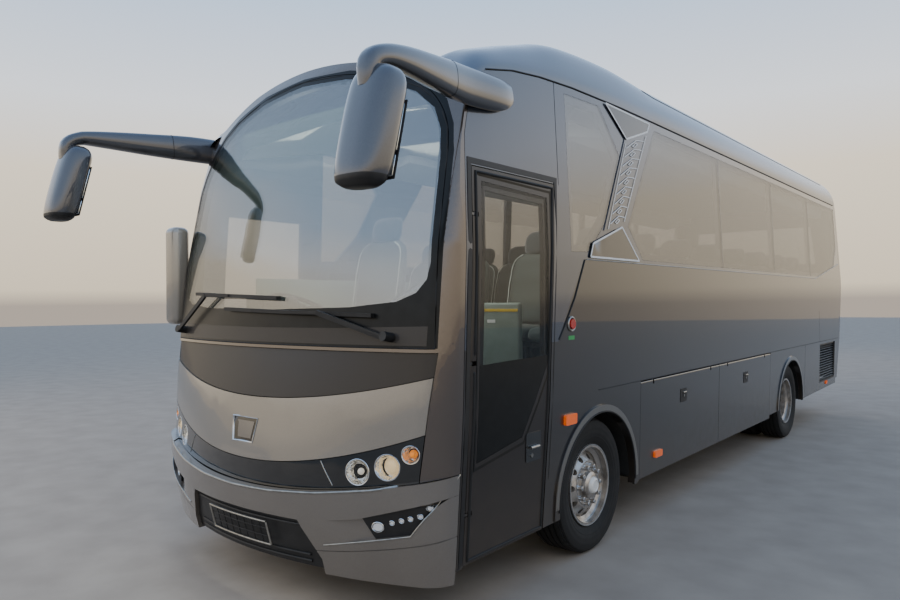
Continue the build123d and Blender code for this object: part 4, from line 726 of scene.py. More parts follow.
# Entrance door: a hollow aluminium leaf with a rubber seal round it, a recessed lock plate and a
# pull. The seal is what shows as a black line round the leaf.
door_enamel = enamel("door enamel", "#1d1918", "#272220", 0.3, 0.34, Coat_Weight=0.35)
finish_node("entrance_door", door_enamel)
inset_line = [(A - 1.33, 0.33), (A - 1.223, 2.268), (A - 0.494, 2.268), (A - 0.657, 0.33)]
show(bead("entrance_door", "left", inset_line, 0.0085, 0.0, True), "door_seal", rubber_seal, "entrance_door")
show(frame_plate("entrance_door", "left", [(A - 1.21, 2.262), (A - 0.515, 2.246), (A - 0.543, 1.25),
                                           (A - 0.84, 0.83), (A - 1.29, 0.76)], 0.055, 0.002, 0.003),
     "door_pane_gasket", ceramic, "entrance_door")
show(plate("entrance_door", "left", oblong(A - 0.82, A - 0.67, 0.72, 0.88), 0.004, 0.006, corner=0.012),
     "door_lock_plate", gloss_black, "entrance_door")
show(join([bead("entrance_door", "left", [(A - 0.79, 0.80), (A - 0.705, 0.80)], 0.009, 0.014),
           plate("entrance_door", "left", oval(A - 0.765, 0.755, 0.012, 0.012), 0.009, 0.006)]),
     "door_pull", satin_strip, "entrance_door")
show(frame_plate("side_wall_left", "left", [(A - 1.40, 0.303), (A - 1.287, 2.335), (A - 0.437, 2.335),
                                            (A - 0.602, 0.303)],
                 0.03, 0.003, 0.004), "doorway_frame", black_trim, "body")

# Side trims: seams, the crease at the waist, the lips of the arches, locker handles, marker lamps and
# the emergency button. Strips are clipped on, lamps are screwed in from outside.


def along_left(line, radius, proud, closed=False):
    """A bead along the left wall."""
    return bead("side_wall_left", "left", line, radius, proud, closed)


ARCH_CENTRE = 0.05
ARCH_HEIGHT = 0.38


def arch_line(axle, radius, low):
    """A line round a wheel arch, from the skirt up and over to the skirt."""
    points = [(axle + ARCH_CENTRE - radius, low)]
    for number in range(33):
        angle = math.pi * (1 - number / 32)
        points.append((axle + ARCH_CENTRE + radius * math.cos(angle), ARCH_HEIGHT + radius * math.sin(angle)))
    return points + [(axle + ARCH_CENTRE + radius, low)]


def arch_edges():
    return join([along_left(arch_line(axle, 0.512, 0.36), 0.007, 0.001) for axle in (A, axle_rear)])


show(both_sides(arch_edges), "arch_edge_beads", rubber_seal, "body")


def arch_lip(axle):
    """The lip of an arch, as a sheet strip that stands on the wall's own lip. Its lighter paint is a painted
    highlight.
    """
    shape = bmesh.new()
    edges = []
    for radius in (0.556, 0.518):
        verts = [shape.verts.new(seen("left", u, v)) for u, v in arch_line(axle, radius, 0.40)]
        edges += [shape.edges.new(pair) for pair in zip(verts, verts[1:])]
    bmesh.ops.bridge_loops(shape, edges=edges)
    bmesh.ops.subdivide_edges(shape, edges=shape.edges[:], cuts=1, use_grid_fill=True)
    return laid(shape, "side_wall_left", "left", 0.003, 0.004)


# The lip's lighter paint stands for the bright reflection along the arch's edge: a painted highlight.
lip_highlight_paint = enamel("arch lip painted highlight", "#6f6c67", "#85827c", 0.7, 0.28)
for place_name, axle in (("front", A), ("rear", axle_rear)):
    show(both_sides(lambda: arch_lip(axle)), f"arch_lip_highlights_{place_name}", lip_highlight_paint, "body")

WAIST_LINE = 1.036
waist_run = [(A + 0.02, WAIST_LINE), (axle_rear + 2.6, WAIST_LINE)]
show(both_sides(lambda: along_left(waist_run, 0.0032, 0.0005)), "waist_creases", rubber_seal,
     "body")
seam_runs = [[(A - 0.417, 2.31), (A - 0.417, 2.90)], [(axle_rear + 0.703, 0.46), (axle_rear + 0.703, 1.03)],
             [(axle_rear + 1.473, 1.04), (axle_rear + 1.473, 1.44)]]
show(both_sides(lambda: join([along_left(run, 0.0026, 0.0002) for run in seam_runs])), "side_seam_seals",
     rubber_seal,
     "body")


def marker(node, outline, proud):
    """A marker lamp with rounded corners, whose foot lies a little inside the panel."""
    return plate(node, "left", outline, proud, proud + 0.002, 0.05, 0.012)


amber_lens, tree, shader, place = new_material("amber marker lens", Base_Color=linear("#e2600f"),
                                               Roughness=0.12,
                                               Coat_Weight=1.0, Emission_Color=linear("#ff6a10"),
                                               Emission_Strength=0.25)
ribs = add_node(tree, "ShaderNodeTexWave", {"Vector": place, "Scale": 60}, bands_direction="Y")
bump = add_node(tree, "ShaderNodeBump", {"Height": ribs.outputs["Fac"], "Strength": 0.4, "Distance": 0.002})
tree.links.new(bump.outputs["Normal"], shader.inputs["Normal"])
show(both_sides(lambda: marker("side_wall_left", oblong(A - 0.415, A - 0.285, 0.867, 0.93), 0.018)),
     "front_marker_lamps", amber_lens, "body")
for side_name, place_on in (("left", lambda shape: shape), ("right", turned_over)):
    lamp = marker("bay_door_left_front", oblong(A + 0.89, A + 1.02, 0.443, 0.492), 0.016)
    show(place_on(lamp), f"leaf_marker_{side_name}", amber_lens, f"bay_door_{side_name}_front")
show(both_sides(lambda: plate("side_wall_left", "left", oval(A + 6.578, 0.47, 0.032, 0.032), 0.014, 0.016)),
     "round_marker_lamps", amber_lens, "body")

for side_name in ("left", "right"):
    for place_name, y in (("front", A + 1.454), ("rear", A + 3.045)):
        node = f"bay_door_left_{place_name}"
        shape = plate(node, "left", oblong(y - 0.065, y + 0.065, 0.795, 0.9), 0.003, 0.005, corner=0.012)
        pull = bead(node, "left", [(y - 0.03, 0.872), (y + 0.03, 0.872)], 0.007, 0.01)
        lock = plate(node, "left", oval(y, 0.845, 0.011, 0.011), 0.008, 0.006)
        bright = join([pull, lock])
        if side_name == "right":
            turned_over(shape)
            turned_over(bright)
        show(shape, f"locker_plate_{side_name}_{place_name}", black_trim,
             f"bay_door_{side_name}_{place_name}")
        show(bright, f"locker_handle_{side_name}_{place_name}", satin_strip,
             f"bay_door_{side_name}_{place_name}")

BUTTON = (A - 0.317, 1.468)
red_plastic = grained("red urea plastic", "#a51612", 0.25, 0.0, Coat_Weight=0.6)
green_label = grained("green vinyl label", "#1f8a45", 0.4, 0.0)
show(plate("side_wall_left", "left", oval(*BUTTON, 0.03, 0.03), 0.016, 0.015),
     "emergency_button", red_plastic, "body")
show(along_left(oval(*BUTTON, 0.04, 0.04), 0.007, 0.003, True),
     "emergency_button_ring", satin_strip, "body")
show(plate("side_wall_left", "left", oblong(BUTTON[0] - 0.035, BUTTON[0] + 0.035, 1.373, 1.397), 0.001,
           0.001),
     "emergency_label", green_label, "body")
finish_node("side_grilles", black_trim)

# Printed film: a pale geometric band runs down the slanted pillar between the first two side windows,
# with an outlined dark triangle at each end. It is cut vinyl, laid on gloss black film.
white_film = grained("white cut vinyl", "#cfd3d6", 0.35, 0.0)
black_film = grained("gloss black film", "#0b0c0e", 0.12, 0.0, Coat_Weight=0.8)


def on_side(points):
    return [(A + u, v) for u, v in points]


def film(outline, proud=0.0105, thick=0.001, step=0.08):
    return plate(SIDE_SKIN, "left", on_side(outline), proud, thick, step)


def film_line(points, width, closed=False):
    """Straight strips of film between points, each a thin grid turned along its run."""
    strips = []
    ends = points + points[:1] if closed else points
    for (u0, v0), (u1, v1) in zip(ends, ends[1:]):
        span = math.hypot(u1 - u0, v1 - v0)
        nu, nv = -(v1 - v0) / span * width / 2, (u1 - u0) / span * width / 2
        strips.append(film([(u0 + nu, v0 + nv), (u1 + nu, v1 + nv), (u1 - nu, v1 - nv), (u0 - nu, v0 - nv)],
                           0.0115,
                           0.001, 0.12))
    return join(strips)


UPPER_TRIANGLE = [(0.232, 2.925), (0.93, 2.917), (0.885, 2.85), (0.527, 2.735)]
LOWER_TRIANGLE = [(0.388, 2.105), (-0.035, 1.97), (-0.078, 1.884), (0.635, 1.884)]
PILLAR_BAND = [(0.495, 2.695), (0.875, 2.82), (0.435, 2.15), (0.17, 2.075)]
PILLAR_PANEL = [(0.515, 2.75), (0.9, 2.86), (0.43, 2.10), (0.13, 2.065)]
SLASH = [(-0.14, 1.862), (-0.27, 1.628), (-0.404, 1.45), (-0.462, 1.382)]


def pillar_point(along, across):
    """A point of the slanted band from how far down it lies and how far across."""
    top = Vector(PILLAR_BAND[0]).lerp(Vector(PILLAR_BAND[1]), across)
    foot = Vector(PILLAR_BAND[3]).lerp(Vector(PILLAR_BAND[2]), across)
    return tuple(top.lerp(foot, along))


def film_backs():
    return join([film(UPPER_TRIANGLE), film(LOWER_TRIANGLE)])


def film_ornament():
    """Outlines of both triangles, and stepped chevrons with small lozenges between them."""
    parts = [film_line(UPPER_TRIANGLE, 0.012, True), film_line(LOWER_TRIANGLE, 0.012, True)]
    parts += [film_line([pillar_point(0, across), pillar_point(1, across)], 0.006) for across in (0.04, 0.96)]
    rows = 9
    for number in range(rows):
        high, low = number / rows, (number + 0.55) / rows
        parts.append(film_line([pillar_point(low, 0.1), pillar_point(high + 0.01, 0.5), pillar_point(low,
                                                                                                     0.9)],
                               0.006))
        middle = (number + 0.62) / rows
        parts.append(film_line([pillar_point(middle - 0.025, 0.5), pillar_point(middle, 0.62),
                                pillar_point(middle + 0.025, 0.5), pillar_point(middle, 0.38)], 0.005, True))
    return join(parts)


show(both_sides(lambda: film(PILLAR_PANEL, 0.006, 0.0055)), "pillar_panels", upper_grey, "body")
show(both_sides(lambda: bead(SIDE_SKIN, "left", on_side(SLASH), 0.0045, 0.002)), "slant_seams", rubber_seal,
     "body")
show(both_sides(film_backs), "film_backs", black_film, "body")
show(both_sides(film_ornament), "film_ornament", white_film, "body")

# Mirrors: each an arm that sweeps forward from the roof's corner and carries a hanging head. Both are
# sprayed ABS shells; the head has a black cap below and two panes of mirror glass at its back.
mirror_grey = enamel("mirror enamel", "#3f4045", "#4f5055", 0.55, 0.28)
mirror_glass, tree, shader, place = new_material("silvered mirror glass", Base_Color=linear("#dfe5e8"),
                                                 Metallic=1.0,
                                                 Roughness=0.02)
HALF = 1.215
ARM_ROWS = [(HALF - 0.023, -0.925, 2.716, 0.056, 0.112), (HALF - 0.015, -1.04, 2.692, 0.088, 0.168),
            (HALF + 0.01, -1.35, 2.668, 0.1, 0.178), (HALF + 0.073, -1.65, 2.642, 0.1, 0.148),
            (HALF + 0.13, -1.9, 2.618, 0.096, 0.112), (HALF + 0.163, -2.07, 2.588, 0.09, 0.084),
            (HALF + 0.171, -2.15, 2.54, 0.086, 0.074), (HALF + 0.172, -2.165, 2.44, 0.07, 0.05)]
HEAD_ROWS = [(0.0, 0.034, 0.13, 0.09), (0.012, 0.012, 0.172, 0.13), (0.035, 0.0, 0.206, 0.158),
             (0.12, 0.012, 0.226, 0.178), (0.28, 0.052, 0.234, 0.178), (0.4, 0.088, 0.23, 0.172),
             (0.455, 0.112, 0.2, 0.14), (0.482, 0.136, 0.13, 0.09)]
HEAD_RINGS, HEAD_FOOT = 26, 2.046
HEAD_OUT = HALF + 0.17
HEAD_LEAD = nose - 0.405


def between(rows, share):
    """A row of numbers at one place along a list of rows, on a smooth curve through them."""
    spot = share * (len(rows) - 1)
    number = min(int(spot), len(rows) - 2)
    t = spot - number
    a, b, c, d = (rows[min(max(number + k, 0), len(rows) - 1)] for k in (-1, 0, 1, 2))
    return [0.5 * (2 * q + (r - p) * t + (2 * p - 5 * q + 4 * r - s) * t * t + (3 * q - p - 3 * r + s) * t ** 3)
            for p, q, r, s in zip(a, b, c, d)]


def rounded_ring(shape, wide, deep, matrix, corners=28, power=2.7):
    """A ring of vertices on a rounded rectangle, placed by a matrix."""
    ring = bmesh.ops.create_circle(shape, segments=corners, radius=1, matrix=Matrix())["verts"]
    for vert in ring:
        angle = math.atan2(vert.co.y, vert.co.x)
        c, s = math.cos(angle), math.sin(angle)
        stretch = (abs(c) ** power + abs(s) ** power) ** (-1 / power)
        vert.co = matrix @ Vector((c * stretch * wide / 2, s * stretch * deep / 2, 0))
    return ring


def loft_rings(shape, rings):
    """Bridges a run of rings into one closed skin."""
    for first, second in zip(rings, rings[1:]):
        members = set(first) | set(second)
        edges = [edge for edge in shape.edges
                 if edge.verts[0] in members and edge.verts[1] in members and not edge.link_faces
                 or (edge.verts[0] in first and edge.verts[1] in first)
                 or (edge.verts[0] in second and edge.verts[1] in second)]
        bmesh.ops.bridge_loops(shape, edges=list(set(edges)))
    for ring in (rings[0], rings[-1]):
        bmesh.ops.contextual_create(shape, geom=ring)
    bmesh.ops.recalc_face_normals(shape, faces=shape.faces[:])
    return shape


ARM_RINGS, LIFTED_BY = 30, 0.7


def arm_ring(shape, share, lift, swell=1.0, shift=0.0):
    """A ring round the arm, square to its run. A lifted arm rises over its first part and is wider."""
    x, y, z, wide, deep = between(ARM_ROWS, share)
    wide += 0.2 * lift * share
    before, after = (Vector(between(ARM_ROWS, min(1, max(0, share + step)))[:3]) for step in (-0.02, 0.02))
    ahead = (after - before).normalized()
    across = Vector((0, 0, 1)).cross(ahead).normalized()
    spot = Vector((x, A + y, z + lift * min(1, share / LIFTED_BY))) + ahead * shift
    turned = Matrix((across, ahead.cross(across), ahead)).transposed().to_4x4()
    return rounded_ring(shape, wide * swell, deep * swell, Matrix.Translation(spot) @ turned)


def mirror_arm(lift):
    shape = bmesh.new()
    return loft_rings(shape, [arm_ring(shape, number / ARM_RINGS, lift) for number in range(ARM_RINGS + 1)])


def mirror_head(lift):
    shape = bmesh.new()
    rings = []
    for number in range(HEAD_RINGS + 1):
        rise, back, wide, deep = between(HEAD_ROWS, number / HEAD_RINGS)
        middle = (HEAD_OUT, HEAD_LEAD + back + deep / 2, HEAD_FOOT + rise + lift)
        rings.append(rounded_ring(shape, wide, deep, Matrix.Translation(middle), 36, 2.9))
    loft_rings(shape, rings)
    for face in shape.faces:
        face.material_index = 1 if face.calc_center_median().z < HEAD_FOOT + lift + 0.05 else 0
    return shape


MIRROR_LIFT = {"left": 0.0, "right": 0.1}
for side_name in ("left", "right"):
    lift = MIRROR_LIFT[side_name]
    arm, head = mirror_arm(lift), mirror_head(lift)
    if side_name == "right":
        turned_over(arm)
        turned_over(head)
    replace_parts(show(arm, f"mirror_arm_{side_name}", mirror_grey, "body", 50),
                f"mirror_{side_name}")
    show(head, f"mirror_head_{side_name}", [mirror_grey, black_trim], "body", 50)
SEAM_AT, HEAD_SLOPE = 0.36, 0.25


def arm_joint(lift):
    """The joint line where the arm's front shell meets its root."""
    shape = bmesh.new()
    return loft_rings(shape, [arm_ring(shape, SEAM_AT, lift, 1.012, shift) for shift in (-0.002, 0.002)])


show(join([arm_joint(MIRROR_LIFT["left"]), turned_over(arm_joint(MIRROR_LIFT["right"]))]),
     "mirror_arm_joints", rubber_seal, "body")


def mirror_panes():
    """The main pane and the wide-angle pane below it, in a black rim at the back of the head."""
    panes = []
    back_low = HEAD_LEAD + 0.174
    for low, high in ((2.19, 2.385), (2.09, 2.175)):
        tall = high - low
        y = back_low + ((low + high) / 2 - HEAD_FOOT - 0.12) * HEAD_SLOPE + 0.001
        shape = box_shape((HEAD_OUT - 0.092, -0.003, -tall / 2), (HEAD_OUT + 0.092, 0.003, tall / 2), 0.0015)
        bmesh.ops.transform(shape, verts=shape.verts[:], matrix=Matrix.Translation((0, y, (low + high) / 2)) @
                            Matrix.Rotation(-math.atan(HEAD_SLOPE), 4, "X"))
        panes.append(shape)
    return join(panes)


def mirror_rim():
    shape = box_shape((HEAD_OUT - 0.1, -0.006, -0.165), (HEAD_OUT + 0.1, 0.0, 0.165), 0.004)
    bmesh.ops.transform(shape, verts=shape.verts[:], matrix=Matrix.Translation((0, HEAD_LEAD + 0.202,
                                                                                2.238)) @
                        Matrix.Rotation(-math.atan(HEAD_SLOPE), 4, "X"))
    return shape


def lifted_pair(make):
    """A part of the left mirror, and the same on the right one, which hangs a little higher."""
    right = turned_over(make())
    bmesh.ops.translate(right, verts=right.verts[:], vec=(0, 0, MIRROR_LIFT["right"]))
    return join([make(), right])


show(lifted_pair(mirror_rim), "mirror_rims", black_trim, "body")
show(lifted_pair(mirror_panes), "mirror_panes", mirror_glass, "body")
show(box_shape((-1.335, A - 1.535, 1.47), (-1.19, A - 1.405, 2.15), 0.045, 5), "far_side_pod", mask_grey,
     "body", 50)

# Wheels: pressed steel discs, clear-lacquered silver, with ten studs under long plated nuts. The tyres
# are radials with ribs on the wall and four grooves round the tread.
wheel_silver, tree, shader, place = new_material("silver wheel lacquer", Base_Color=linear("#b9b9b8"),
                                                 Metallic=0.85,
                                                 Roughness=0.3, Coat_Weight=0.4)
grime = add_node(tree, "ShaderNodeTexNoise", {"Vector": place, "Scale": 12, "Detail": 8, "Roughness": 0.65})
tree.links.new(shade_between(tree, grime.outputs["Fac"], [(0.36, "#8b847c"), (0.5, "#b3ada6"), (0.75,
                                                                                                "#cbc5be")]),
               shader.inputs["Base Color"])
rough = add_node(tree, "ShaderNodeMapRange", {"Value": grime.outputs["Fac"], "To Min": 0.5, "To Max": 0.22})
tree.links.new(rough.outputs[0], shader.inputs["Roughness"])
tyre_rubber, tree, shader, place = new_material("carbon black tyre rubber", Roughness=0.78)
scuff = add_node(tree, "ShaderNodeTexNoise", {"Vector": place, "Scale": 18, "Detail": 7, "Roughness": 0.7})
tree.links.new(shade_between(tree, scuff.outputs["Fac"], [(0.35, "#0e0e0e"), (0.6, "#171615"), (0.8,
                                                                                                "#272421")]),
               shader.inputs["Base Color"])
bump = add_node(tree, "ShaderNodeBump", {"Height": scuff.outputs["Fac"], "Strength": 0.25, "Distance": 0.002})
tree.links.new(bump.outputs["Normal"], shader.inputs["Normal"])

WHEEL_OUT, TYRE_RADIUS = 1.052, 0.425
TWIN_STEP = 0.285
GROOVES = (-0.062, -0.021, 0.021, 0.062)


def tyre_profile():
    """Half a tyre's section from the bead to the tread's middle, then mirrored: (along, radius)."""
    wall = [(0.0945, 0.2485), (0.0945, 0.262), (0.101, 0.272), (0.108, 0.283), (0.1095, 0.287), (0.1125,
                                                                                                 0.292),
            (0.116, 0.305), (0.1178, 0.308), (0.1182, 0.318), (0.1205, 0.322), (0.1222, 0.34), (0.1215,
                                                                                                0.358),
            (0.1225, 0.362), (0.1215, 0.374), (0.1185, 0.388), (0.1165, 0.399), (0.112, 0.4075), (0.1085,
                                                                                                  0.411)]
    crown = [(0.098, 0.4185), (0.088, 0.4225)]
    for groove in reversed(GROOVES):
        if groove > 0:
            crown += [(groove + 0.006, 0.4245), (groove + 0.0045, 0.4125), (groove - 0.0045, 0.4125),
                      (groove - 0.006, 0.4248)]
    half = wall + crown
    return half + [(-u, r) for u, r in reversed(half)] + [half[0]]


def tyre(x, y):
    shape = spun(tyre_profile(), (x, y, TYRE_RADIUS), (1, 0, 0), 96)
    bmesh.ops.inset_individual(shape, faces=[
        face for face in shape.faces
        if 0.406 < math.hypot(*(face.calc_center_median() - Vector((x, y, TYRE_RADIUS))).yz) < 0.4225
        and abs(face.calc_center_median().x - x) > 0.09], thickness=0.0035, depth=-0.004)
    return shape


for place_name, tyre_node, rim_node, axle, steps in (
        ("front", "front_tyre", "front_rim", A, (0,)),
        ("rear", "rear_tyres", "rear_rims", axle_rear, (0, -TWIN_STEP))):
    for side_name in ("left", "right"):
        node = f"{tyre_node}_{side_name}"
        shape = join([tyre(WHEEL_OUT + step, axle) for step in steps])
        if side_name == "right":
            turned_over(shape)
        piece = show(shape, f"{place_name}_tyre_rubber_{side_name}", tyre_rubber, body_of_node[node],
                     28)
        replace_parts(piece, node)
        finish_node(f"{rim_node}_{side_name}", wheel_silver, 30)

NUT_CIRCLE, NUT_COUNT = 0.118, 10


def hub(axle):
    return Vector((WHEEL_OUT, axle, TYRE_RADIUS))


def wheel_trim(axle, face_x, boss):
    """Plated nuts, the bright ring under them, and the hub's collar, for one left wheel."""
    centre = hub(axle)
    parts = []
    for number in range(NUT_COUNT):
        angle = math.tau * number / NUT_COUNT
        spot = centre + Vector((0, NUT_CIRCLE * math.cos(angle), NUT_CIRCLE * math.sin(angle)))
        nut = bmesh.new()
        bmesh.ops.create_cone(nut, cap_ends=True, segments=6, radius1=0.0165, radius2=0.015, depth=0.034,
                              matrix=Matrix.Translation(spot + Vector((face_x + 0.017, 0, 0))) @
                              Matrix.Rotation(math.pi / 2, 4, "Y"))
        bmesh.ops.bevel(nut, geom=nut.edges[:], offset=0.0018, segments=2, affect="EDGES", profile=0.5,
                        material=-1)
        parts.append(nut)
        washer = spun([(0, 0.021), (0.004, 0.021), (0.004, 0.012), (0, 0.012), (0, 0.021)],
                      spot + Vector((face_x - 0.001, 0, 0)), (1, 0, 0), 16)
        parts.append(washer)
    parts.append(spun([(face_x - 0.006, 0.141), (face_x + 0.003, 0.139), (face_x + 0.003, 0.134),
                       (face_x - 0.006, 0.132), (face_x - 0.006, 0.141)], centre, (1, 0, 0), 64))
    parts.append(spun([(boss - 0.02, 0.083), (boss - 0.004, 0.083), (boss, 0.079), (boss, 0.066),
                       (boss - 0.005, 0.06), (boss - 0.02, 0.06), (boss - 0.02, 0.083)], centre, (1, 0, 0),
                       48))
    return join(parts)


def hub_cap(axle, start, end):
    """The cap over the bearing: a pressed dome with a bare round face."""
    return spun([(start, 0.059), (end - 0.02, 0.056), (end - 0.006, 0.049), (end, 0.04), (end + 0.001, 0.034),
                 (end - 0.002, 0.032), (end - 0.002, 0.0001)], hub(axle), (1, 0, 0), 48)


def rim_rings(axle):
    """The polished edges of the rim's flange and its seat."""
    return join([spun([(along - 0.004, radius - 0.004), (along, radius), (along + 0.004, radius - 0.001),
                       (along + 0.003, radius - 0.007), (along - 0.004, radius - 0.004)], hub(axle), (1, 0,
                                                                                                      0), 72)
                 for along, radius in ((0.102, 0.2585), (0.066, 0.2405))])


cap_white = grained("pale hub cap enamel", "#c9c9c6", 0.25, 0.0, Coat_Weight=0.8)
for place_name, body_name, axle, face_x, boss, cap_end in (
        ("front", "front_wheel", A, 0.084, 0.112, 0.145),
        ("rear", "rear_wheels", axle_rear, -0.125, -0.02, 0.02)):
    for side_name in ("left", "right"):
        for name, shape, finish in (("nuts", wheel_trim(axle, face_x, boss), chrome),
                                    ("hub_cap", hub_cap(axle, boss - 0.03, cap_end), cap_white),
                                    ("flange_rings", rim_rings(axle), chrome)):
            if side_name == "right":
                turned_over(shape)
            show(shape, f"{place_name}_{name}_{side_name}", finish, f"{body_name}_{side_name}",
                 30)

# Arch liners: vacuum-formed black sheets behind the wall, which keep the spray off the floor.
LINER = (0.545, 0.66, 1.168)


def arch_liner(axle):
    radius, inner, outer = LINER
    shape = bmesh.new()
    profile = [shape.verts.new((x, axle - radius, ARCH_HEIGHT)) for x in (inner, outer)]
    bmesh.ops.spin(shape, geom=profile + [shape.edges.new(profile)], cent=(0, axle, ARCH_HEIGHT), axis=(1, 0,
                                                                                                        0),
                   angle=-math.pi, steps=40)
    bmesh.ops.recalc_face_normals(shape, faces=shape.faces[:])
    bmesh.ops.solidify(shape, geom=shape.faces[:], thickness=0.004)
    return shape


liner_felt = grained("black arch liner", "#131312", 0.85, 0.6)
show(both_sides(lambda: join([arch_liner(A), arch_liner(axle_rear)])), "arch_liners", liner_felt,
     "body")

# Seats: moulded foam pads under leather, with a darker headrest cloth and piping along the seams, on
# black steel legs. Each has side bolsters, three sewn channels across the back, and a headrest.
leather, tree, shader, place = new_material("pigmented seat leather", Roughness=0.5, Sheen_Weight=0.15)
hide = add_node(tree, "ShaderNodeTexVoronoi", {"Vector": place, "Scale": 420})
hue = add_node(tree, "ShaderNodeTexNoise", {"Vector": place, "Scale": 5, "Detail": 5})
tree.links.new(shade_between(tree, hue.outputs["Fac"], [(0.3, "#2c322e"), (0.7, "#3a413b")]),
               shader.inputs["Base Color"])
bump = add_node(tree, "ShaderNodeBump", {"Height": hide.outputs["Distance"], "Strength": 0.04,
                                         "Distance": 0.001})
tree.links.new(bump.outputs["Normal"], shader.inputs["Normal"])
head_cloth = grained("woven head cloth", "#1c1f1f", 0.85, 0.6, Sheen_Weight=0.4)
piping_cord = grained("pale piping cord", "#a9ada4", 0.5, 0.2)
leg_steel = grained("black powder coat", "#161617", 0.5, 0.3)

FLOOR_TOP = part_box("cabin_floor")[1].z


def pad(rows, count, power=3.2, corners=28, channels=(), channel_depth=0.009, dish=0.0):
    """A crowned pad lofted through rounded sections: each row is (x, y, z, wide, deep, lean).
    Sewn channels pull the skin in at shares of its run, and a dish hollows its middle."""
    shape = bmesh.new()
    rings = []
    for number in range(count + 1):
        share = number / count
        x, y, z, wide, deep, lean = between(rows, share)
        for channel in channels:
            pull = math.exp(-((share - channel) * 34) ** 2)
            wide -= channel_depth * pull
            deep -= 2 * channel_depth * pull
        matrix = Matrix.Translation((x, y, z)) @ Matrix.Rotation(lean, 4, "X")
        ring = rounded_ring(shape, wide, deep, matrix, corners, power)
        if dish:
            across = matrix.to_3x3() @ Vector((1, 0, 0))
            normal = matrix.to_3x3() @ Vector((0, 1, 0))
            for vert in ring:
                offset = vert.co - matrix.translation
                if offset.dot(normal) < 0:
                    vert.co += normal * dish * max(0, 1 - (2 * offset.dot(across) / wide) ** 2)
        rings.append(ring)
    return loft_rings(shape, rings)


# Sections of the pads, each as (how far back, a fixed rise, a share of the back's height, a share of the
# width, the thickness).
BACK_ROWS = [(-0.02, 0, 0, 0.80, 0.07), (-0.015, 0.03, 0, 0.93, 0.13), (0.02, 0, 0.2, 1, 0.15),
             (0.055, 0, 0.45, 1, 0.135), (0.085, 0, 0.66, 0.92, 0.12), (0.1, 0, 0.74, 0.66, 0.1),
             (0.104, 0, 0.76, 0.5, 0.06)]
CUSHION_ROWS = [(0, -0.075, 0, 0.9, 0.06), (-0.03, -0.07, 0, 0.98, 0.115), (-0.2, -0.06, 0, 1, 0.13),
                (-0.4, -0.055, 0, 1, 0.125), (-0.445, -0.07, 0, 0.92, 0.08), (-0.455, -0.075, 0, 0.8, 0.05)]
HEADREST_ROWS = [(0.105, 0, 0.75, 0.44, 0.05), (0.108, 0.02, 0.75, 0.58, 0.09), (0.122, 0, 0.86, 0.62, 0.105),
                 (0.136, -0.04, 1, 0.58, 0.09), (0.142, -0.012, 1, 0.42, 0.06), (0.143, -0.006, 1, 0.3, 0.04)]
BACK_SLOPE = 0.13


def seat_rows(rows, x, y, cushion, top, wide, lean=None):
    """Sections in place for one seat. They lean with its back unless a lean is given."""
    tall = top - cushion
    lean = math.atan2(BACK_SLOPE, tall) if lean is None else lean
    return [(x, y + back, cushion + lift + rise * tall, wide * share, deep, lean)
            for back, lift, rise, share, deep in rows]


def seat_pads(*seat):
    """Backrest and seat cushion of one seat, facing the front."""
    return join([pad(seat_rows(BACK_ROWS, *seat), 22, channels=(0.3, 0.46, 0.62), dish=0.022),
                 pad(seat_rows(CUSHION_ROWS, *seat, math.pi / 2), 14, channels=(0.35, 0.6))])


def seat_head(*seat):
    return pad(seat_rows(HEADREST_ROWS, *seat), 14, power=2.6)


def rod(points, radius):
    """A round rod through points, bent smoothly, as a bmesh."""
    curve = bpy.data.curves.new("rod", "CURVE")
    run = curve.splines.new("BEZIER")
    run.bezier_points.add(len(points) - 1)
    for knot, spot in zip(run.bezier_points, points):
        knot.co = spot
        knot.handle_left_type = knot.handle_right_type = "AUTO"
    run.resolution_u = 8
    return swept(curve, radius, 1)


def seat_piping(x, y, cushion, top, wide):
    """Piping up both sides of the back and over its shoulders."""
    tall = top - cushion
    stations = [(0.47, -0.06, 0.04, 0), (0.475, -0.03, 0, 0.25), (0.47, 0.01, 0, 0.5), (0.42, 0.045, 0, 0.68),
                (0.28, 0.06, 0, 0.745)]
    return join([rod([(x + sign * wide * out, y + back, cushion + lift + rise * tall)
                      for out, back, lift, rise in stations], 0.004) for sign in (-1, 1)])


def seat_legs(x, y, cushion, top, wide):
    """Two feet and the frame under the cushion."""
    feet = [box_shape((x + wide * out, y - 0.3, FLOOR_TOP + 0.001), (x + wide * (out + 0.06), y - 0.1,
                                                                     cushion - 0.12),
                      0.006, 1) for out in (-0.42, 0.36)]
    return join(feet + [box_shape((x - wide * 0.45, y - 0.42, cushion - 0.15),
                                  (x + wide * 0.45, y - 0.02, cushion - 0.115), 0.008, 1)])


def furnish(seats, node, pads_name, heads_name, piping_name):
    """The pads, headrests and piping of a group of seats. The pads stand for the seats' node."""
    pads = show(join([seat_pads(*seat) for seat in seats]), pads_name, leather, "body", 60)
    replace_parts(pads, node)
    heads = show(join([seat_head(*seat) for seat in seats]), heads_name, head_cloth, "body",
                 60)
    show(join([seat_piping(*seat) for seat in seats]), piping_name, piping_cord, "body", 60)


SEAT_ROWS, SEAT_PITCH, SEAT_OUT, SEAT_SHIFT = 8, 0.76, 0.69, 0.225
SEAT_SIZE = (1.44, 2.15, 0.44)
for side_name, sign, start in (("left", 1, 0.42), ("right", -1, 0.76)):
    seats = [(sign * SEAT_OUT + dx, A + start + number * SEAT_PITCH, *SEAT_SIZE)
             for number in range(SEAT_ROWS) for dx in (-SEAT_SHIFT, SEAT_SHIFT)]
    furnish(seats, f"seats_{side_name}", f"seat_pads_{side_name}", f"seat_heads_{side_name}",
            f"seat_piping_{side_name}")
    show(join([seat_legs(*seat) for seat in seats]), f"seat_legs_{side_name}", leg_steel, "body")

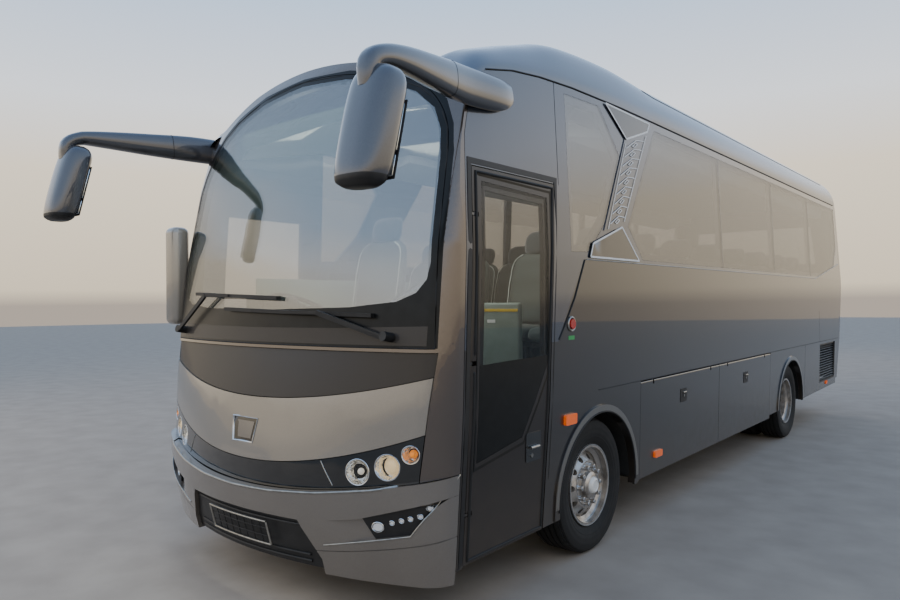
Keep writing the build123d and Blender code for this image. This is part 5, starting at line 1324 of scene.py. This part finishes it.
DRIVER = (-0.65, A - 0.12, 1.47, 2.3, 0.5)
furnish([DRIVER], "driver_seat", "driver_seat_pads", "driver_seat_head", "driver_seat_piping")
show(join([seat_legs(*DRIVER), box_shape((-0.83, A - 0.4, FLOOR_TOP + 0.001), (-0.47, A - 0.08, 1.12),
                                         0.02)]),
     "driver_seat_base", leg_steel, "body")

# Cab: the dash is one moulding of soft black plastic with a hooded cluster; the wheel is moulded in
# grained black plastic. A low partition with a yellow edge stands behind the entrance.
dash_skin = grained("soft dash foam", "#2a2c2c", 0.6, 0.5)
finish_node("dashboard", dash_skin)
finish_node("steering_wheel", black_trim)
show(box_shape((-0.86, A - 1.2, 1.54), (-0.44, A - 1.05, 1.66), 0.03, 4), "instrument_hood", dash_skin,
     "body")
show(join([spun([(0, 0.05), (0.004, 0.05), (0.006, 0.042), (0.002, 0.04), (0.002, 0.0005)],
               (x, A - 1.05, 1.605), (0, 1, 0), 32) for x in (-0.74, -0.56)]), "dial_rims", chrome, "body")
finish_node("entrance_rail", chrome)
vinyl, tree, shader, place = new_material("grey floor vinyl", Roughness=0.55)
flecks = add_node(tree, "ShaderNodeTexVoronoi", {"Vector": place, "Scale": 160})
tree.links.new(shade_between(tree, flecks.outputs["Color"], [(0.2, "#3b3a38"), (0.8, "#57544f")]),
               shader.inputs["Base Color"])
finish_node("cabin_floor", vinyl)
finish_node("entrance_steps", vinyl)
yellow_edge = grained("yellow nosing rubber", "#c9a81b", 0.5, 0.4)
step_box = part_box("entrance_steps")
STEP_COUNT, STEP_LOW, STEP_TOP, STEP_OUT, STEP_IN = 3, 0.38, 0.98, 1.148, 0.38
nosings = []
for number in range(STEP_COUNT):
    edge = STEP_OUT - number * (STEP_OUT - STEP_IN) / STEP_COUNT
    tread = STEP_LOW + number * (STEP_TOP - STEP_LOW) / STEP_COUNT
    nosings.append(box_shape((edge - 0.03, step_box[0].y + 0.01, tread), (edge, step_box[1].y - 0.01,
                                                                          tread + 0.0035),
                             0.001, 1))
show(join(nosings), "step_nosings", yellow_edge, "body")
partition_skin = grained("grey-green partition laminate", "#6d7a70", 0.35, 0.1)
WALL_IN, WALL_OUT, WALL_FRONT, WALL_BACK = 0.58, 0.96, A - 0.50, A - 0.455
show(box_shape((WALL_IN, WALL_FRONT, FLOOR_TOP + 0.001), (WALL_OUT, WALL_BACK, 1.6), 0.018, 4), "partition",
     partition_skin, "body")
show(box_shape((WALL_IN + 0.01, WALL_FRONT - 0.004, 1.545), (WALL_OUT - 0.01, WALL_FRONT + 0.001, 1.562),
               0.001, 1),
     "partition_stripe", yellow_edge, "body")
pale_plastic = grained("pale plastic", "#d6d8d2", 0.4, 0.1)
show(box_shape((0.72, WALL_FRONT - 0.004, 1.475), (0.78, WALL_FRONT + 0.001, 1.495), 0.001, 1),
     "partition_tag",
     pale_plastic, "body")

# Head lining and luggage shelves: pale felt panels above the seats and along the roof.
felt, tree, shader, place = new_material("head lining felt", Roughness=0.9, Sheen_Weight=0.3)
nap = add_node(tree, "ShaderNodeTexNoise", {"Vector": place, "Scale": 300, "Detail": 2})
tree.links.new(shade_between(tree, nap.outputs["Fac"], [(0.3, "#a9ada8"), (0.7, "#bfc3be")]),
               shader.inputs["Base Color"])


def shelf():
    shape = bmesh.new()
    outline = [(0.72, 2.80), (1.10, 2.72), (1.12, 2.75), (1.12, 2.80), (1.06, 3.02), (0.98, 3.05), (0.72,
                                                                                                    2.87)]
    front, rear = A + 0.35, axle_rear + 2.1
    face = bmesh.ops.contextual_create(shape, geom=[shape.verts.new((x, front, z)) for x,
                                                    z in outline])["faces"]
    moved = bmesh.ops.extrude_face_region(shape, geom=face)
    bmesh.ops.translate(shape, verts=[g for g in moved["geom"] if isinstance(g, bmesh.types.BMVert)],
                        vec=(0, rear - front, 0))
    bmesh.ops.bevel(shape, geom=shape.edges[:], offset=0.008, segments=2, affect="EDGES", profile=0.5,
                    material=-1)
    bmesh.ops.recalc_face_normals(shape, faces=shape.faces[:])
    return shape


show(both_sides(shelf), "luggage_shelves", felt, "body")

# Linings: pale felt under the roof and grey-green laminate on the walls below the windows, both on
# battens that the shell hides.
def ceiling():
    ring = [(-1.0, 2.80), (-0.9, 2.86), (0, 2.90), (0.9, 2.86), (1.0, 2.80)]
    shape = bmesh.new()
    runs = []
    for y in (A - 1.12, A - 0.4, axle_rear + 2.1):
        runs.append([shape.verts.new((x, y, z - (0.16 if y < A - 1 else 0))) for x, z in ring])
    for first, second in zip(runs, runs[1:]):
        for k in range(len(ring) - 1):
            shape.faces.new((first[k], first[k + 1], second[k + 1], second[k]))
    bmesh.ops.solidify(shape, geom=shape.faces[:], thickness=0.008)
    bmesh.ops.recalc_face_normals(shape, faces=shape.faces[:])
    return shape


show(ceiling(), "ceiling_lining", felt, "body")
show(join([box_shape((-1.158, A - 0.9, FLOOR_TOP + 0.002), (-1.15, axle_rear + 2.3, 1.80), 0.003, 1),
           box_shape((1.15, A - 0.38, FLOOR_TOP + 0.002), (1.158, axle_rear + 2.3, 1.80), 0.003, 1)]),
           "wall_linings",
     partition_skin, "body")

# Rear: moulded lamp clusters behind red lenses, a bare plate panel, louvres in the engine door, and a
# dark window. Lamps and panels are screwed in from inside.
tail_red, tree, shader, place = new_material("red lamp acrylic", Roughness=0.08, Coat_Weight=1.0,
                                             Emission_Strength=0.06, Emission_Color=linear("#ff2a1c"))
rise = add_node(tree, "ShaderNodeSeparateXYZ", {"Vector": place}).outputs["Z"]
span = add_node(tree, "ShaderNodeMapRange", {"Value": rise, "From Min": 0.76, "From Max": 1.5})
zones = add_node(tree, "ShaderNodeValToRGB", {"Fac": span.outputs[0]})
zones.color_ramp.interpolation = "CONSTANT"
zones.color_ramp.elements[0].color = linear("#8e0f0c")
zones.color_ramp.elements[1].position = 0.72
zones.color_ramp.elements[1].color = linear("#9c120e")
zones.color_ramp.elements.new(0.36).color = linear("#c3570e")
zones.color_ramp.elements.new(0.55).color = linear("#c9c9c6")
tree.links.new(zones.outputs["Color"], shader.inputs["Base Color"])
prisms = add_node(tree, "ShaderNodeTexVoronoi", {"Vector": place, "Scale": 90})
bump = add_node(tree, "ShaderNodeBump", {"Height": prisms.outputs["Distance"], "Strength": 0.4,
                                         "Distance": 0.002})
tree.links.new(bump.outputs["Normal"], shader.inputs["Normal"])
finish_node("tail_lamps", tail_red)
TAIL_LAMP = [(0.93, 0.76), (1.105, 0.76), (1.125, 1.5), (0.985, 1.5)]
show(both_sides(lambda: bead("rear_wall", "rear", TAIL_LAMP, 0.006, 0.001, True)), "tail_lamp_gaskets",
     rubber_seal,
     "body")
LOUVRE_LOW, LOUVRE_PITCH, LOUVRE_COUNT = 1.16, 0.03, 11
louvres = [bead("engine_door", "rear", [(-0.6, z), (0.6, z)], 0.007, 0.003)
           for z in (LOUVRE_LOW + LOUVRE_PITCH * number for number in range(LOUVRE_COUNT))]
show(join(louvres), "engine_door_louvres", black_trim, "engine_door")
show(plate("engine_door", "rear", oblong(-0.3, 0.3, 0.8, 0.98), 0.004, 0.004, corner=0.02),
     "rear_plate_panel", black_trim, "engine_door")
show(bead("engine_door", "rear", [(-0.3, 1.02), (0.3, 1.02)], 0.012, 0.008), "engine_door_handle",
     satin_strip,
     "engine_door")
show(bead("rear_wall", "rear", [(-0.2, 2.77), (0.2, 2.77)], 0.012, 0.002), "high_stop_lamp", tail_red, "body")
show(join([bead("rear_wall", "rear", [(-1.13, z), (1.13, z)], 0.003, 0.0) for z in (1.82, 2.03)]),
     "rear_seams",
     rubber_seal, "body")

# Roof fairings: a moulded cheek on each side swells over the cab's corner and fades into the roof. Its
# sections run from the gutter over the shoulder; a dark bead along the gutter is a painted shadow line under its
# lower edge.
# Rows: (along, gutter, the cheek's shoulder, the roof's own shoulder and crown).
CHEEK_ROWS = [(-1.27, 2.71, 2.79, 2.80, 3.02), (-1.1, 2.822, 2.952, 2.88, 3.06), (-0.85, 2.876, 3.048, 2.93,
                                                                                  3.11),
              (-0.57, 2.908, 3.138, 3.085, 3.20), (-0.2, 2.93, 3.235, 3.225, 3.30), (0.45, 2.945, 3.281,
                                                                                     3.275, 3.345),
              (1.0, 2.947, 3.268, 3.276, 3.35)]
ROOF_HALF = 0.98
CHEEK_STEPS, SECTION_STEPS = 32, 20


def cheek():
    shape = bmesh.new()
    rows = []
    for number in range(CHEEK_STEPS + 1):
        along, gutter, swell, turn, crown = between(CHEEK_ROWS, number / CHEEK_STEPS)
        rise = swell - gutter

        def roof_at(x):
            return crown - (crown - turn) * (x / ROOF_HALF) ** 2

        section = [(1.169, gutter - 0.003), (1.162, gutter + 0.25 * rise), (1.121, gutter + 0.62 * rise),
                   (1.064, gutter + 0.86 * rise), (ROOF_HALF, swell), (0.9, max(swell + 0.012, roof_at(0.9))),
                   (0.78, (max(swell, roof_at(0.78)) + roof_at(0.78)) / 2 + 0.004), (0.66,
                                                                                     roof_at(0.66) - 0.012)]
        spots = [shape.verts.new((x, A + along, z))
                 for x, z in (between(section, k / SECTION_STEPS) for k in range(SECTION_STEPS + 1))]
        rows.append([shape.edges.new(pair) for pair in zip(spots, spots[1:])])
    for first, second in zip(rows, rows[1:]):
        bmesh.ops.bridge_loops(shape, edges=first + second)
    bmesh.ops.recalc_face_normals(shape, faces=shape.faces[:])
    return shape


GUTTER_LINE = [(row[0], row[1]) for row in CHEEK_ROWS[1:]] + [(7.3, 2.947)]
show(both_sides(cheek), "roof_cheeks", roof_grey, "body", 50)
# A dark bead along the gutter stands for the shadow line under the cheek's lower edge: a painted shadow.
show(both_sides(lambda: bead("side_wall_left+roof", "left", on_side(GUTTER_LINE), 0.0045, 0.003)),
     "gutter_shadow_beads",
     rubber_seal, "body")

# Roof: the seam of each side fairing, and two vent hatches that are screwed down on rubber. The hatches
# are sprayed with the roof.
FAIRING_SEAM = [(0.737, A + 0.36), (1.0, A + 0.62), (1.09, A + 1.2)]
show(both_sides(lambda: bead("roof", "top", FAIRING_SEAM + [(1.09, axle_rear + 2.2)], 0.004, 0.0)),
     "fairing_seams",
     rubber_seal, "body")


def hatch(y):
    top = on_skin("roof", "top", Vector((0, y, 0))).z
    return box_shape((-0.36, y - 0.3, top - 0.03), (0.36, y + 0.3, top + 0.004), 0.015, 3)


show(join([hatch(A + 2.0), hatch(axle_rear + 0.6)]), "roof_hatches", roof_grey, "body")
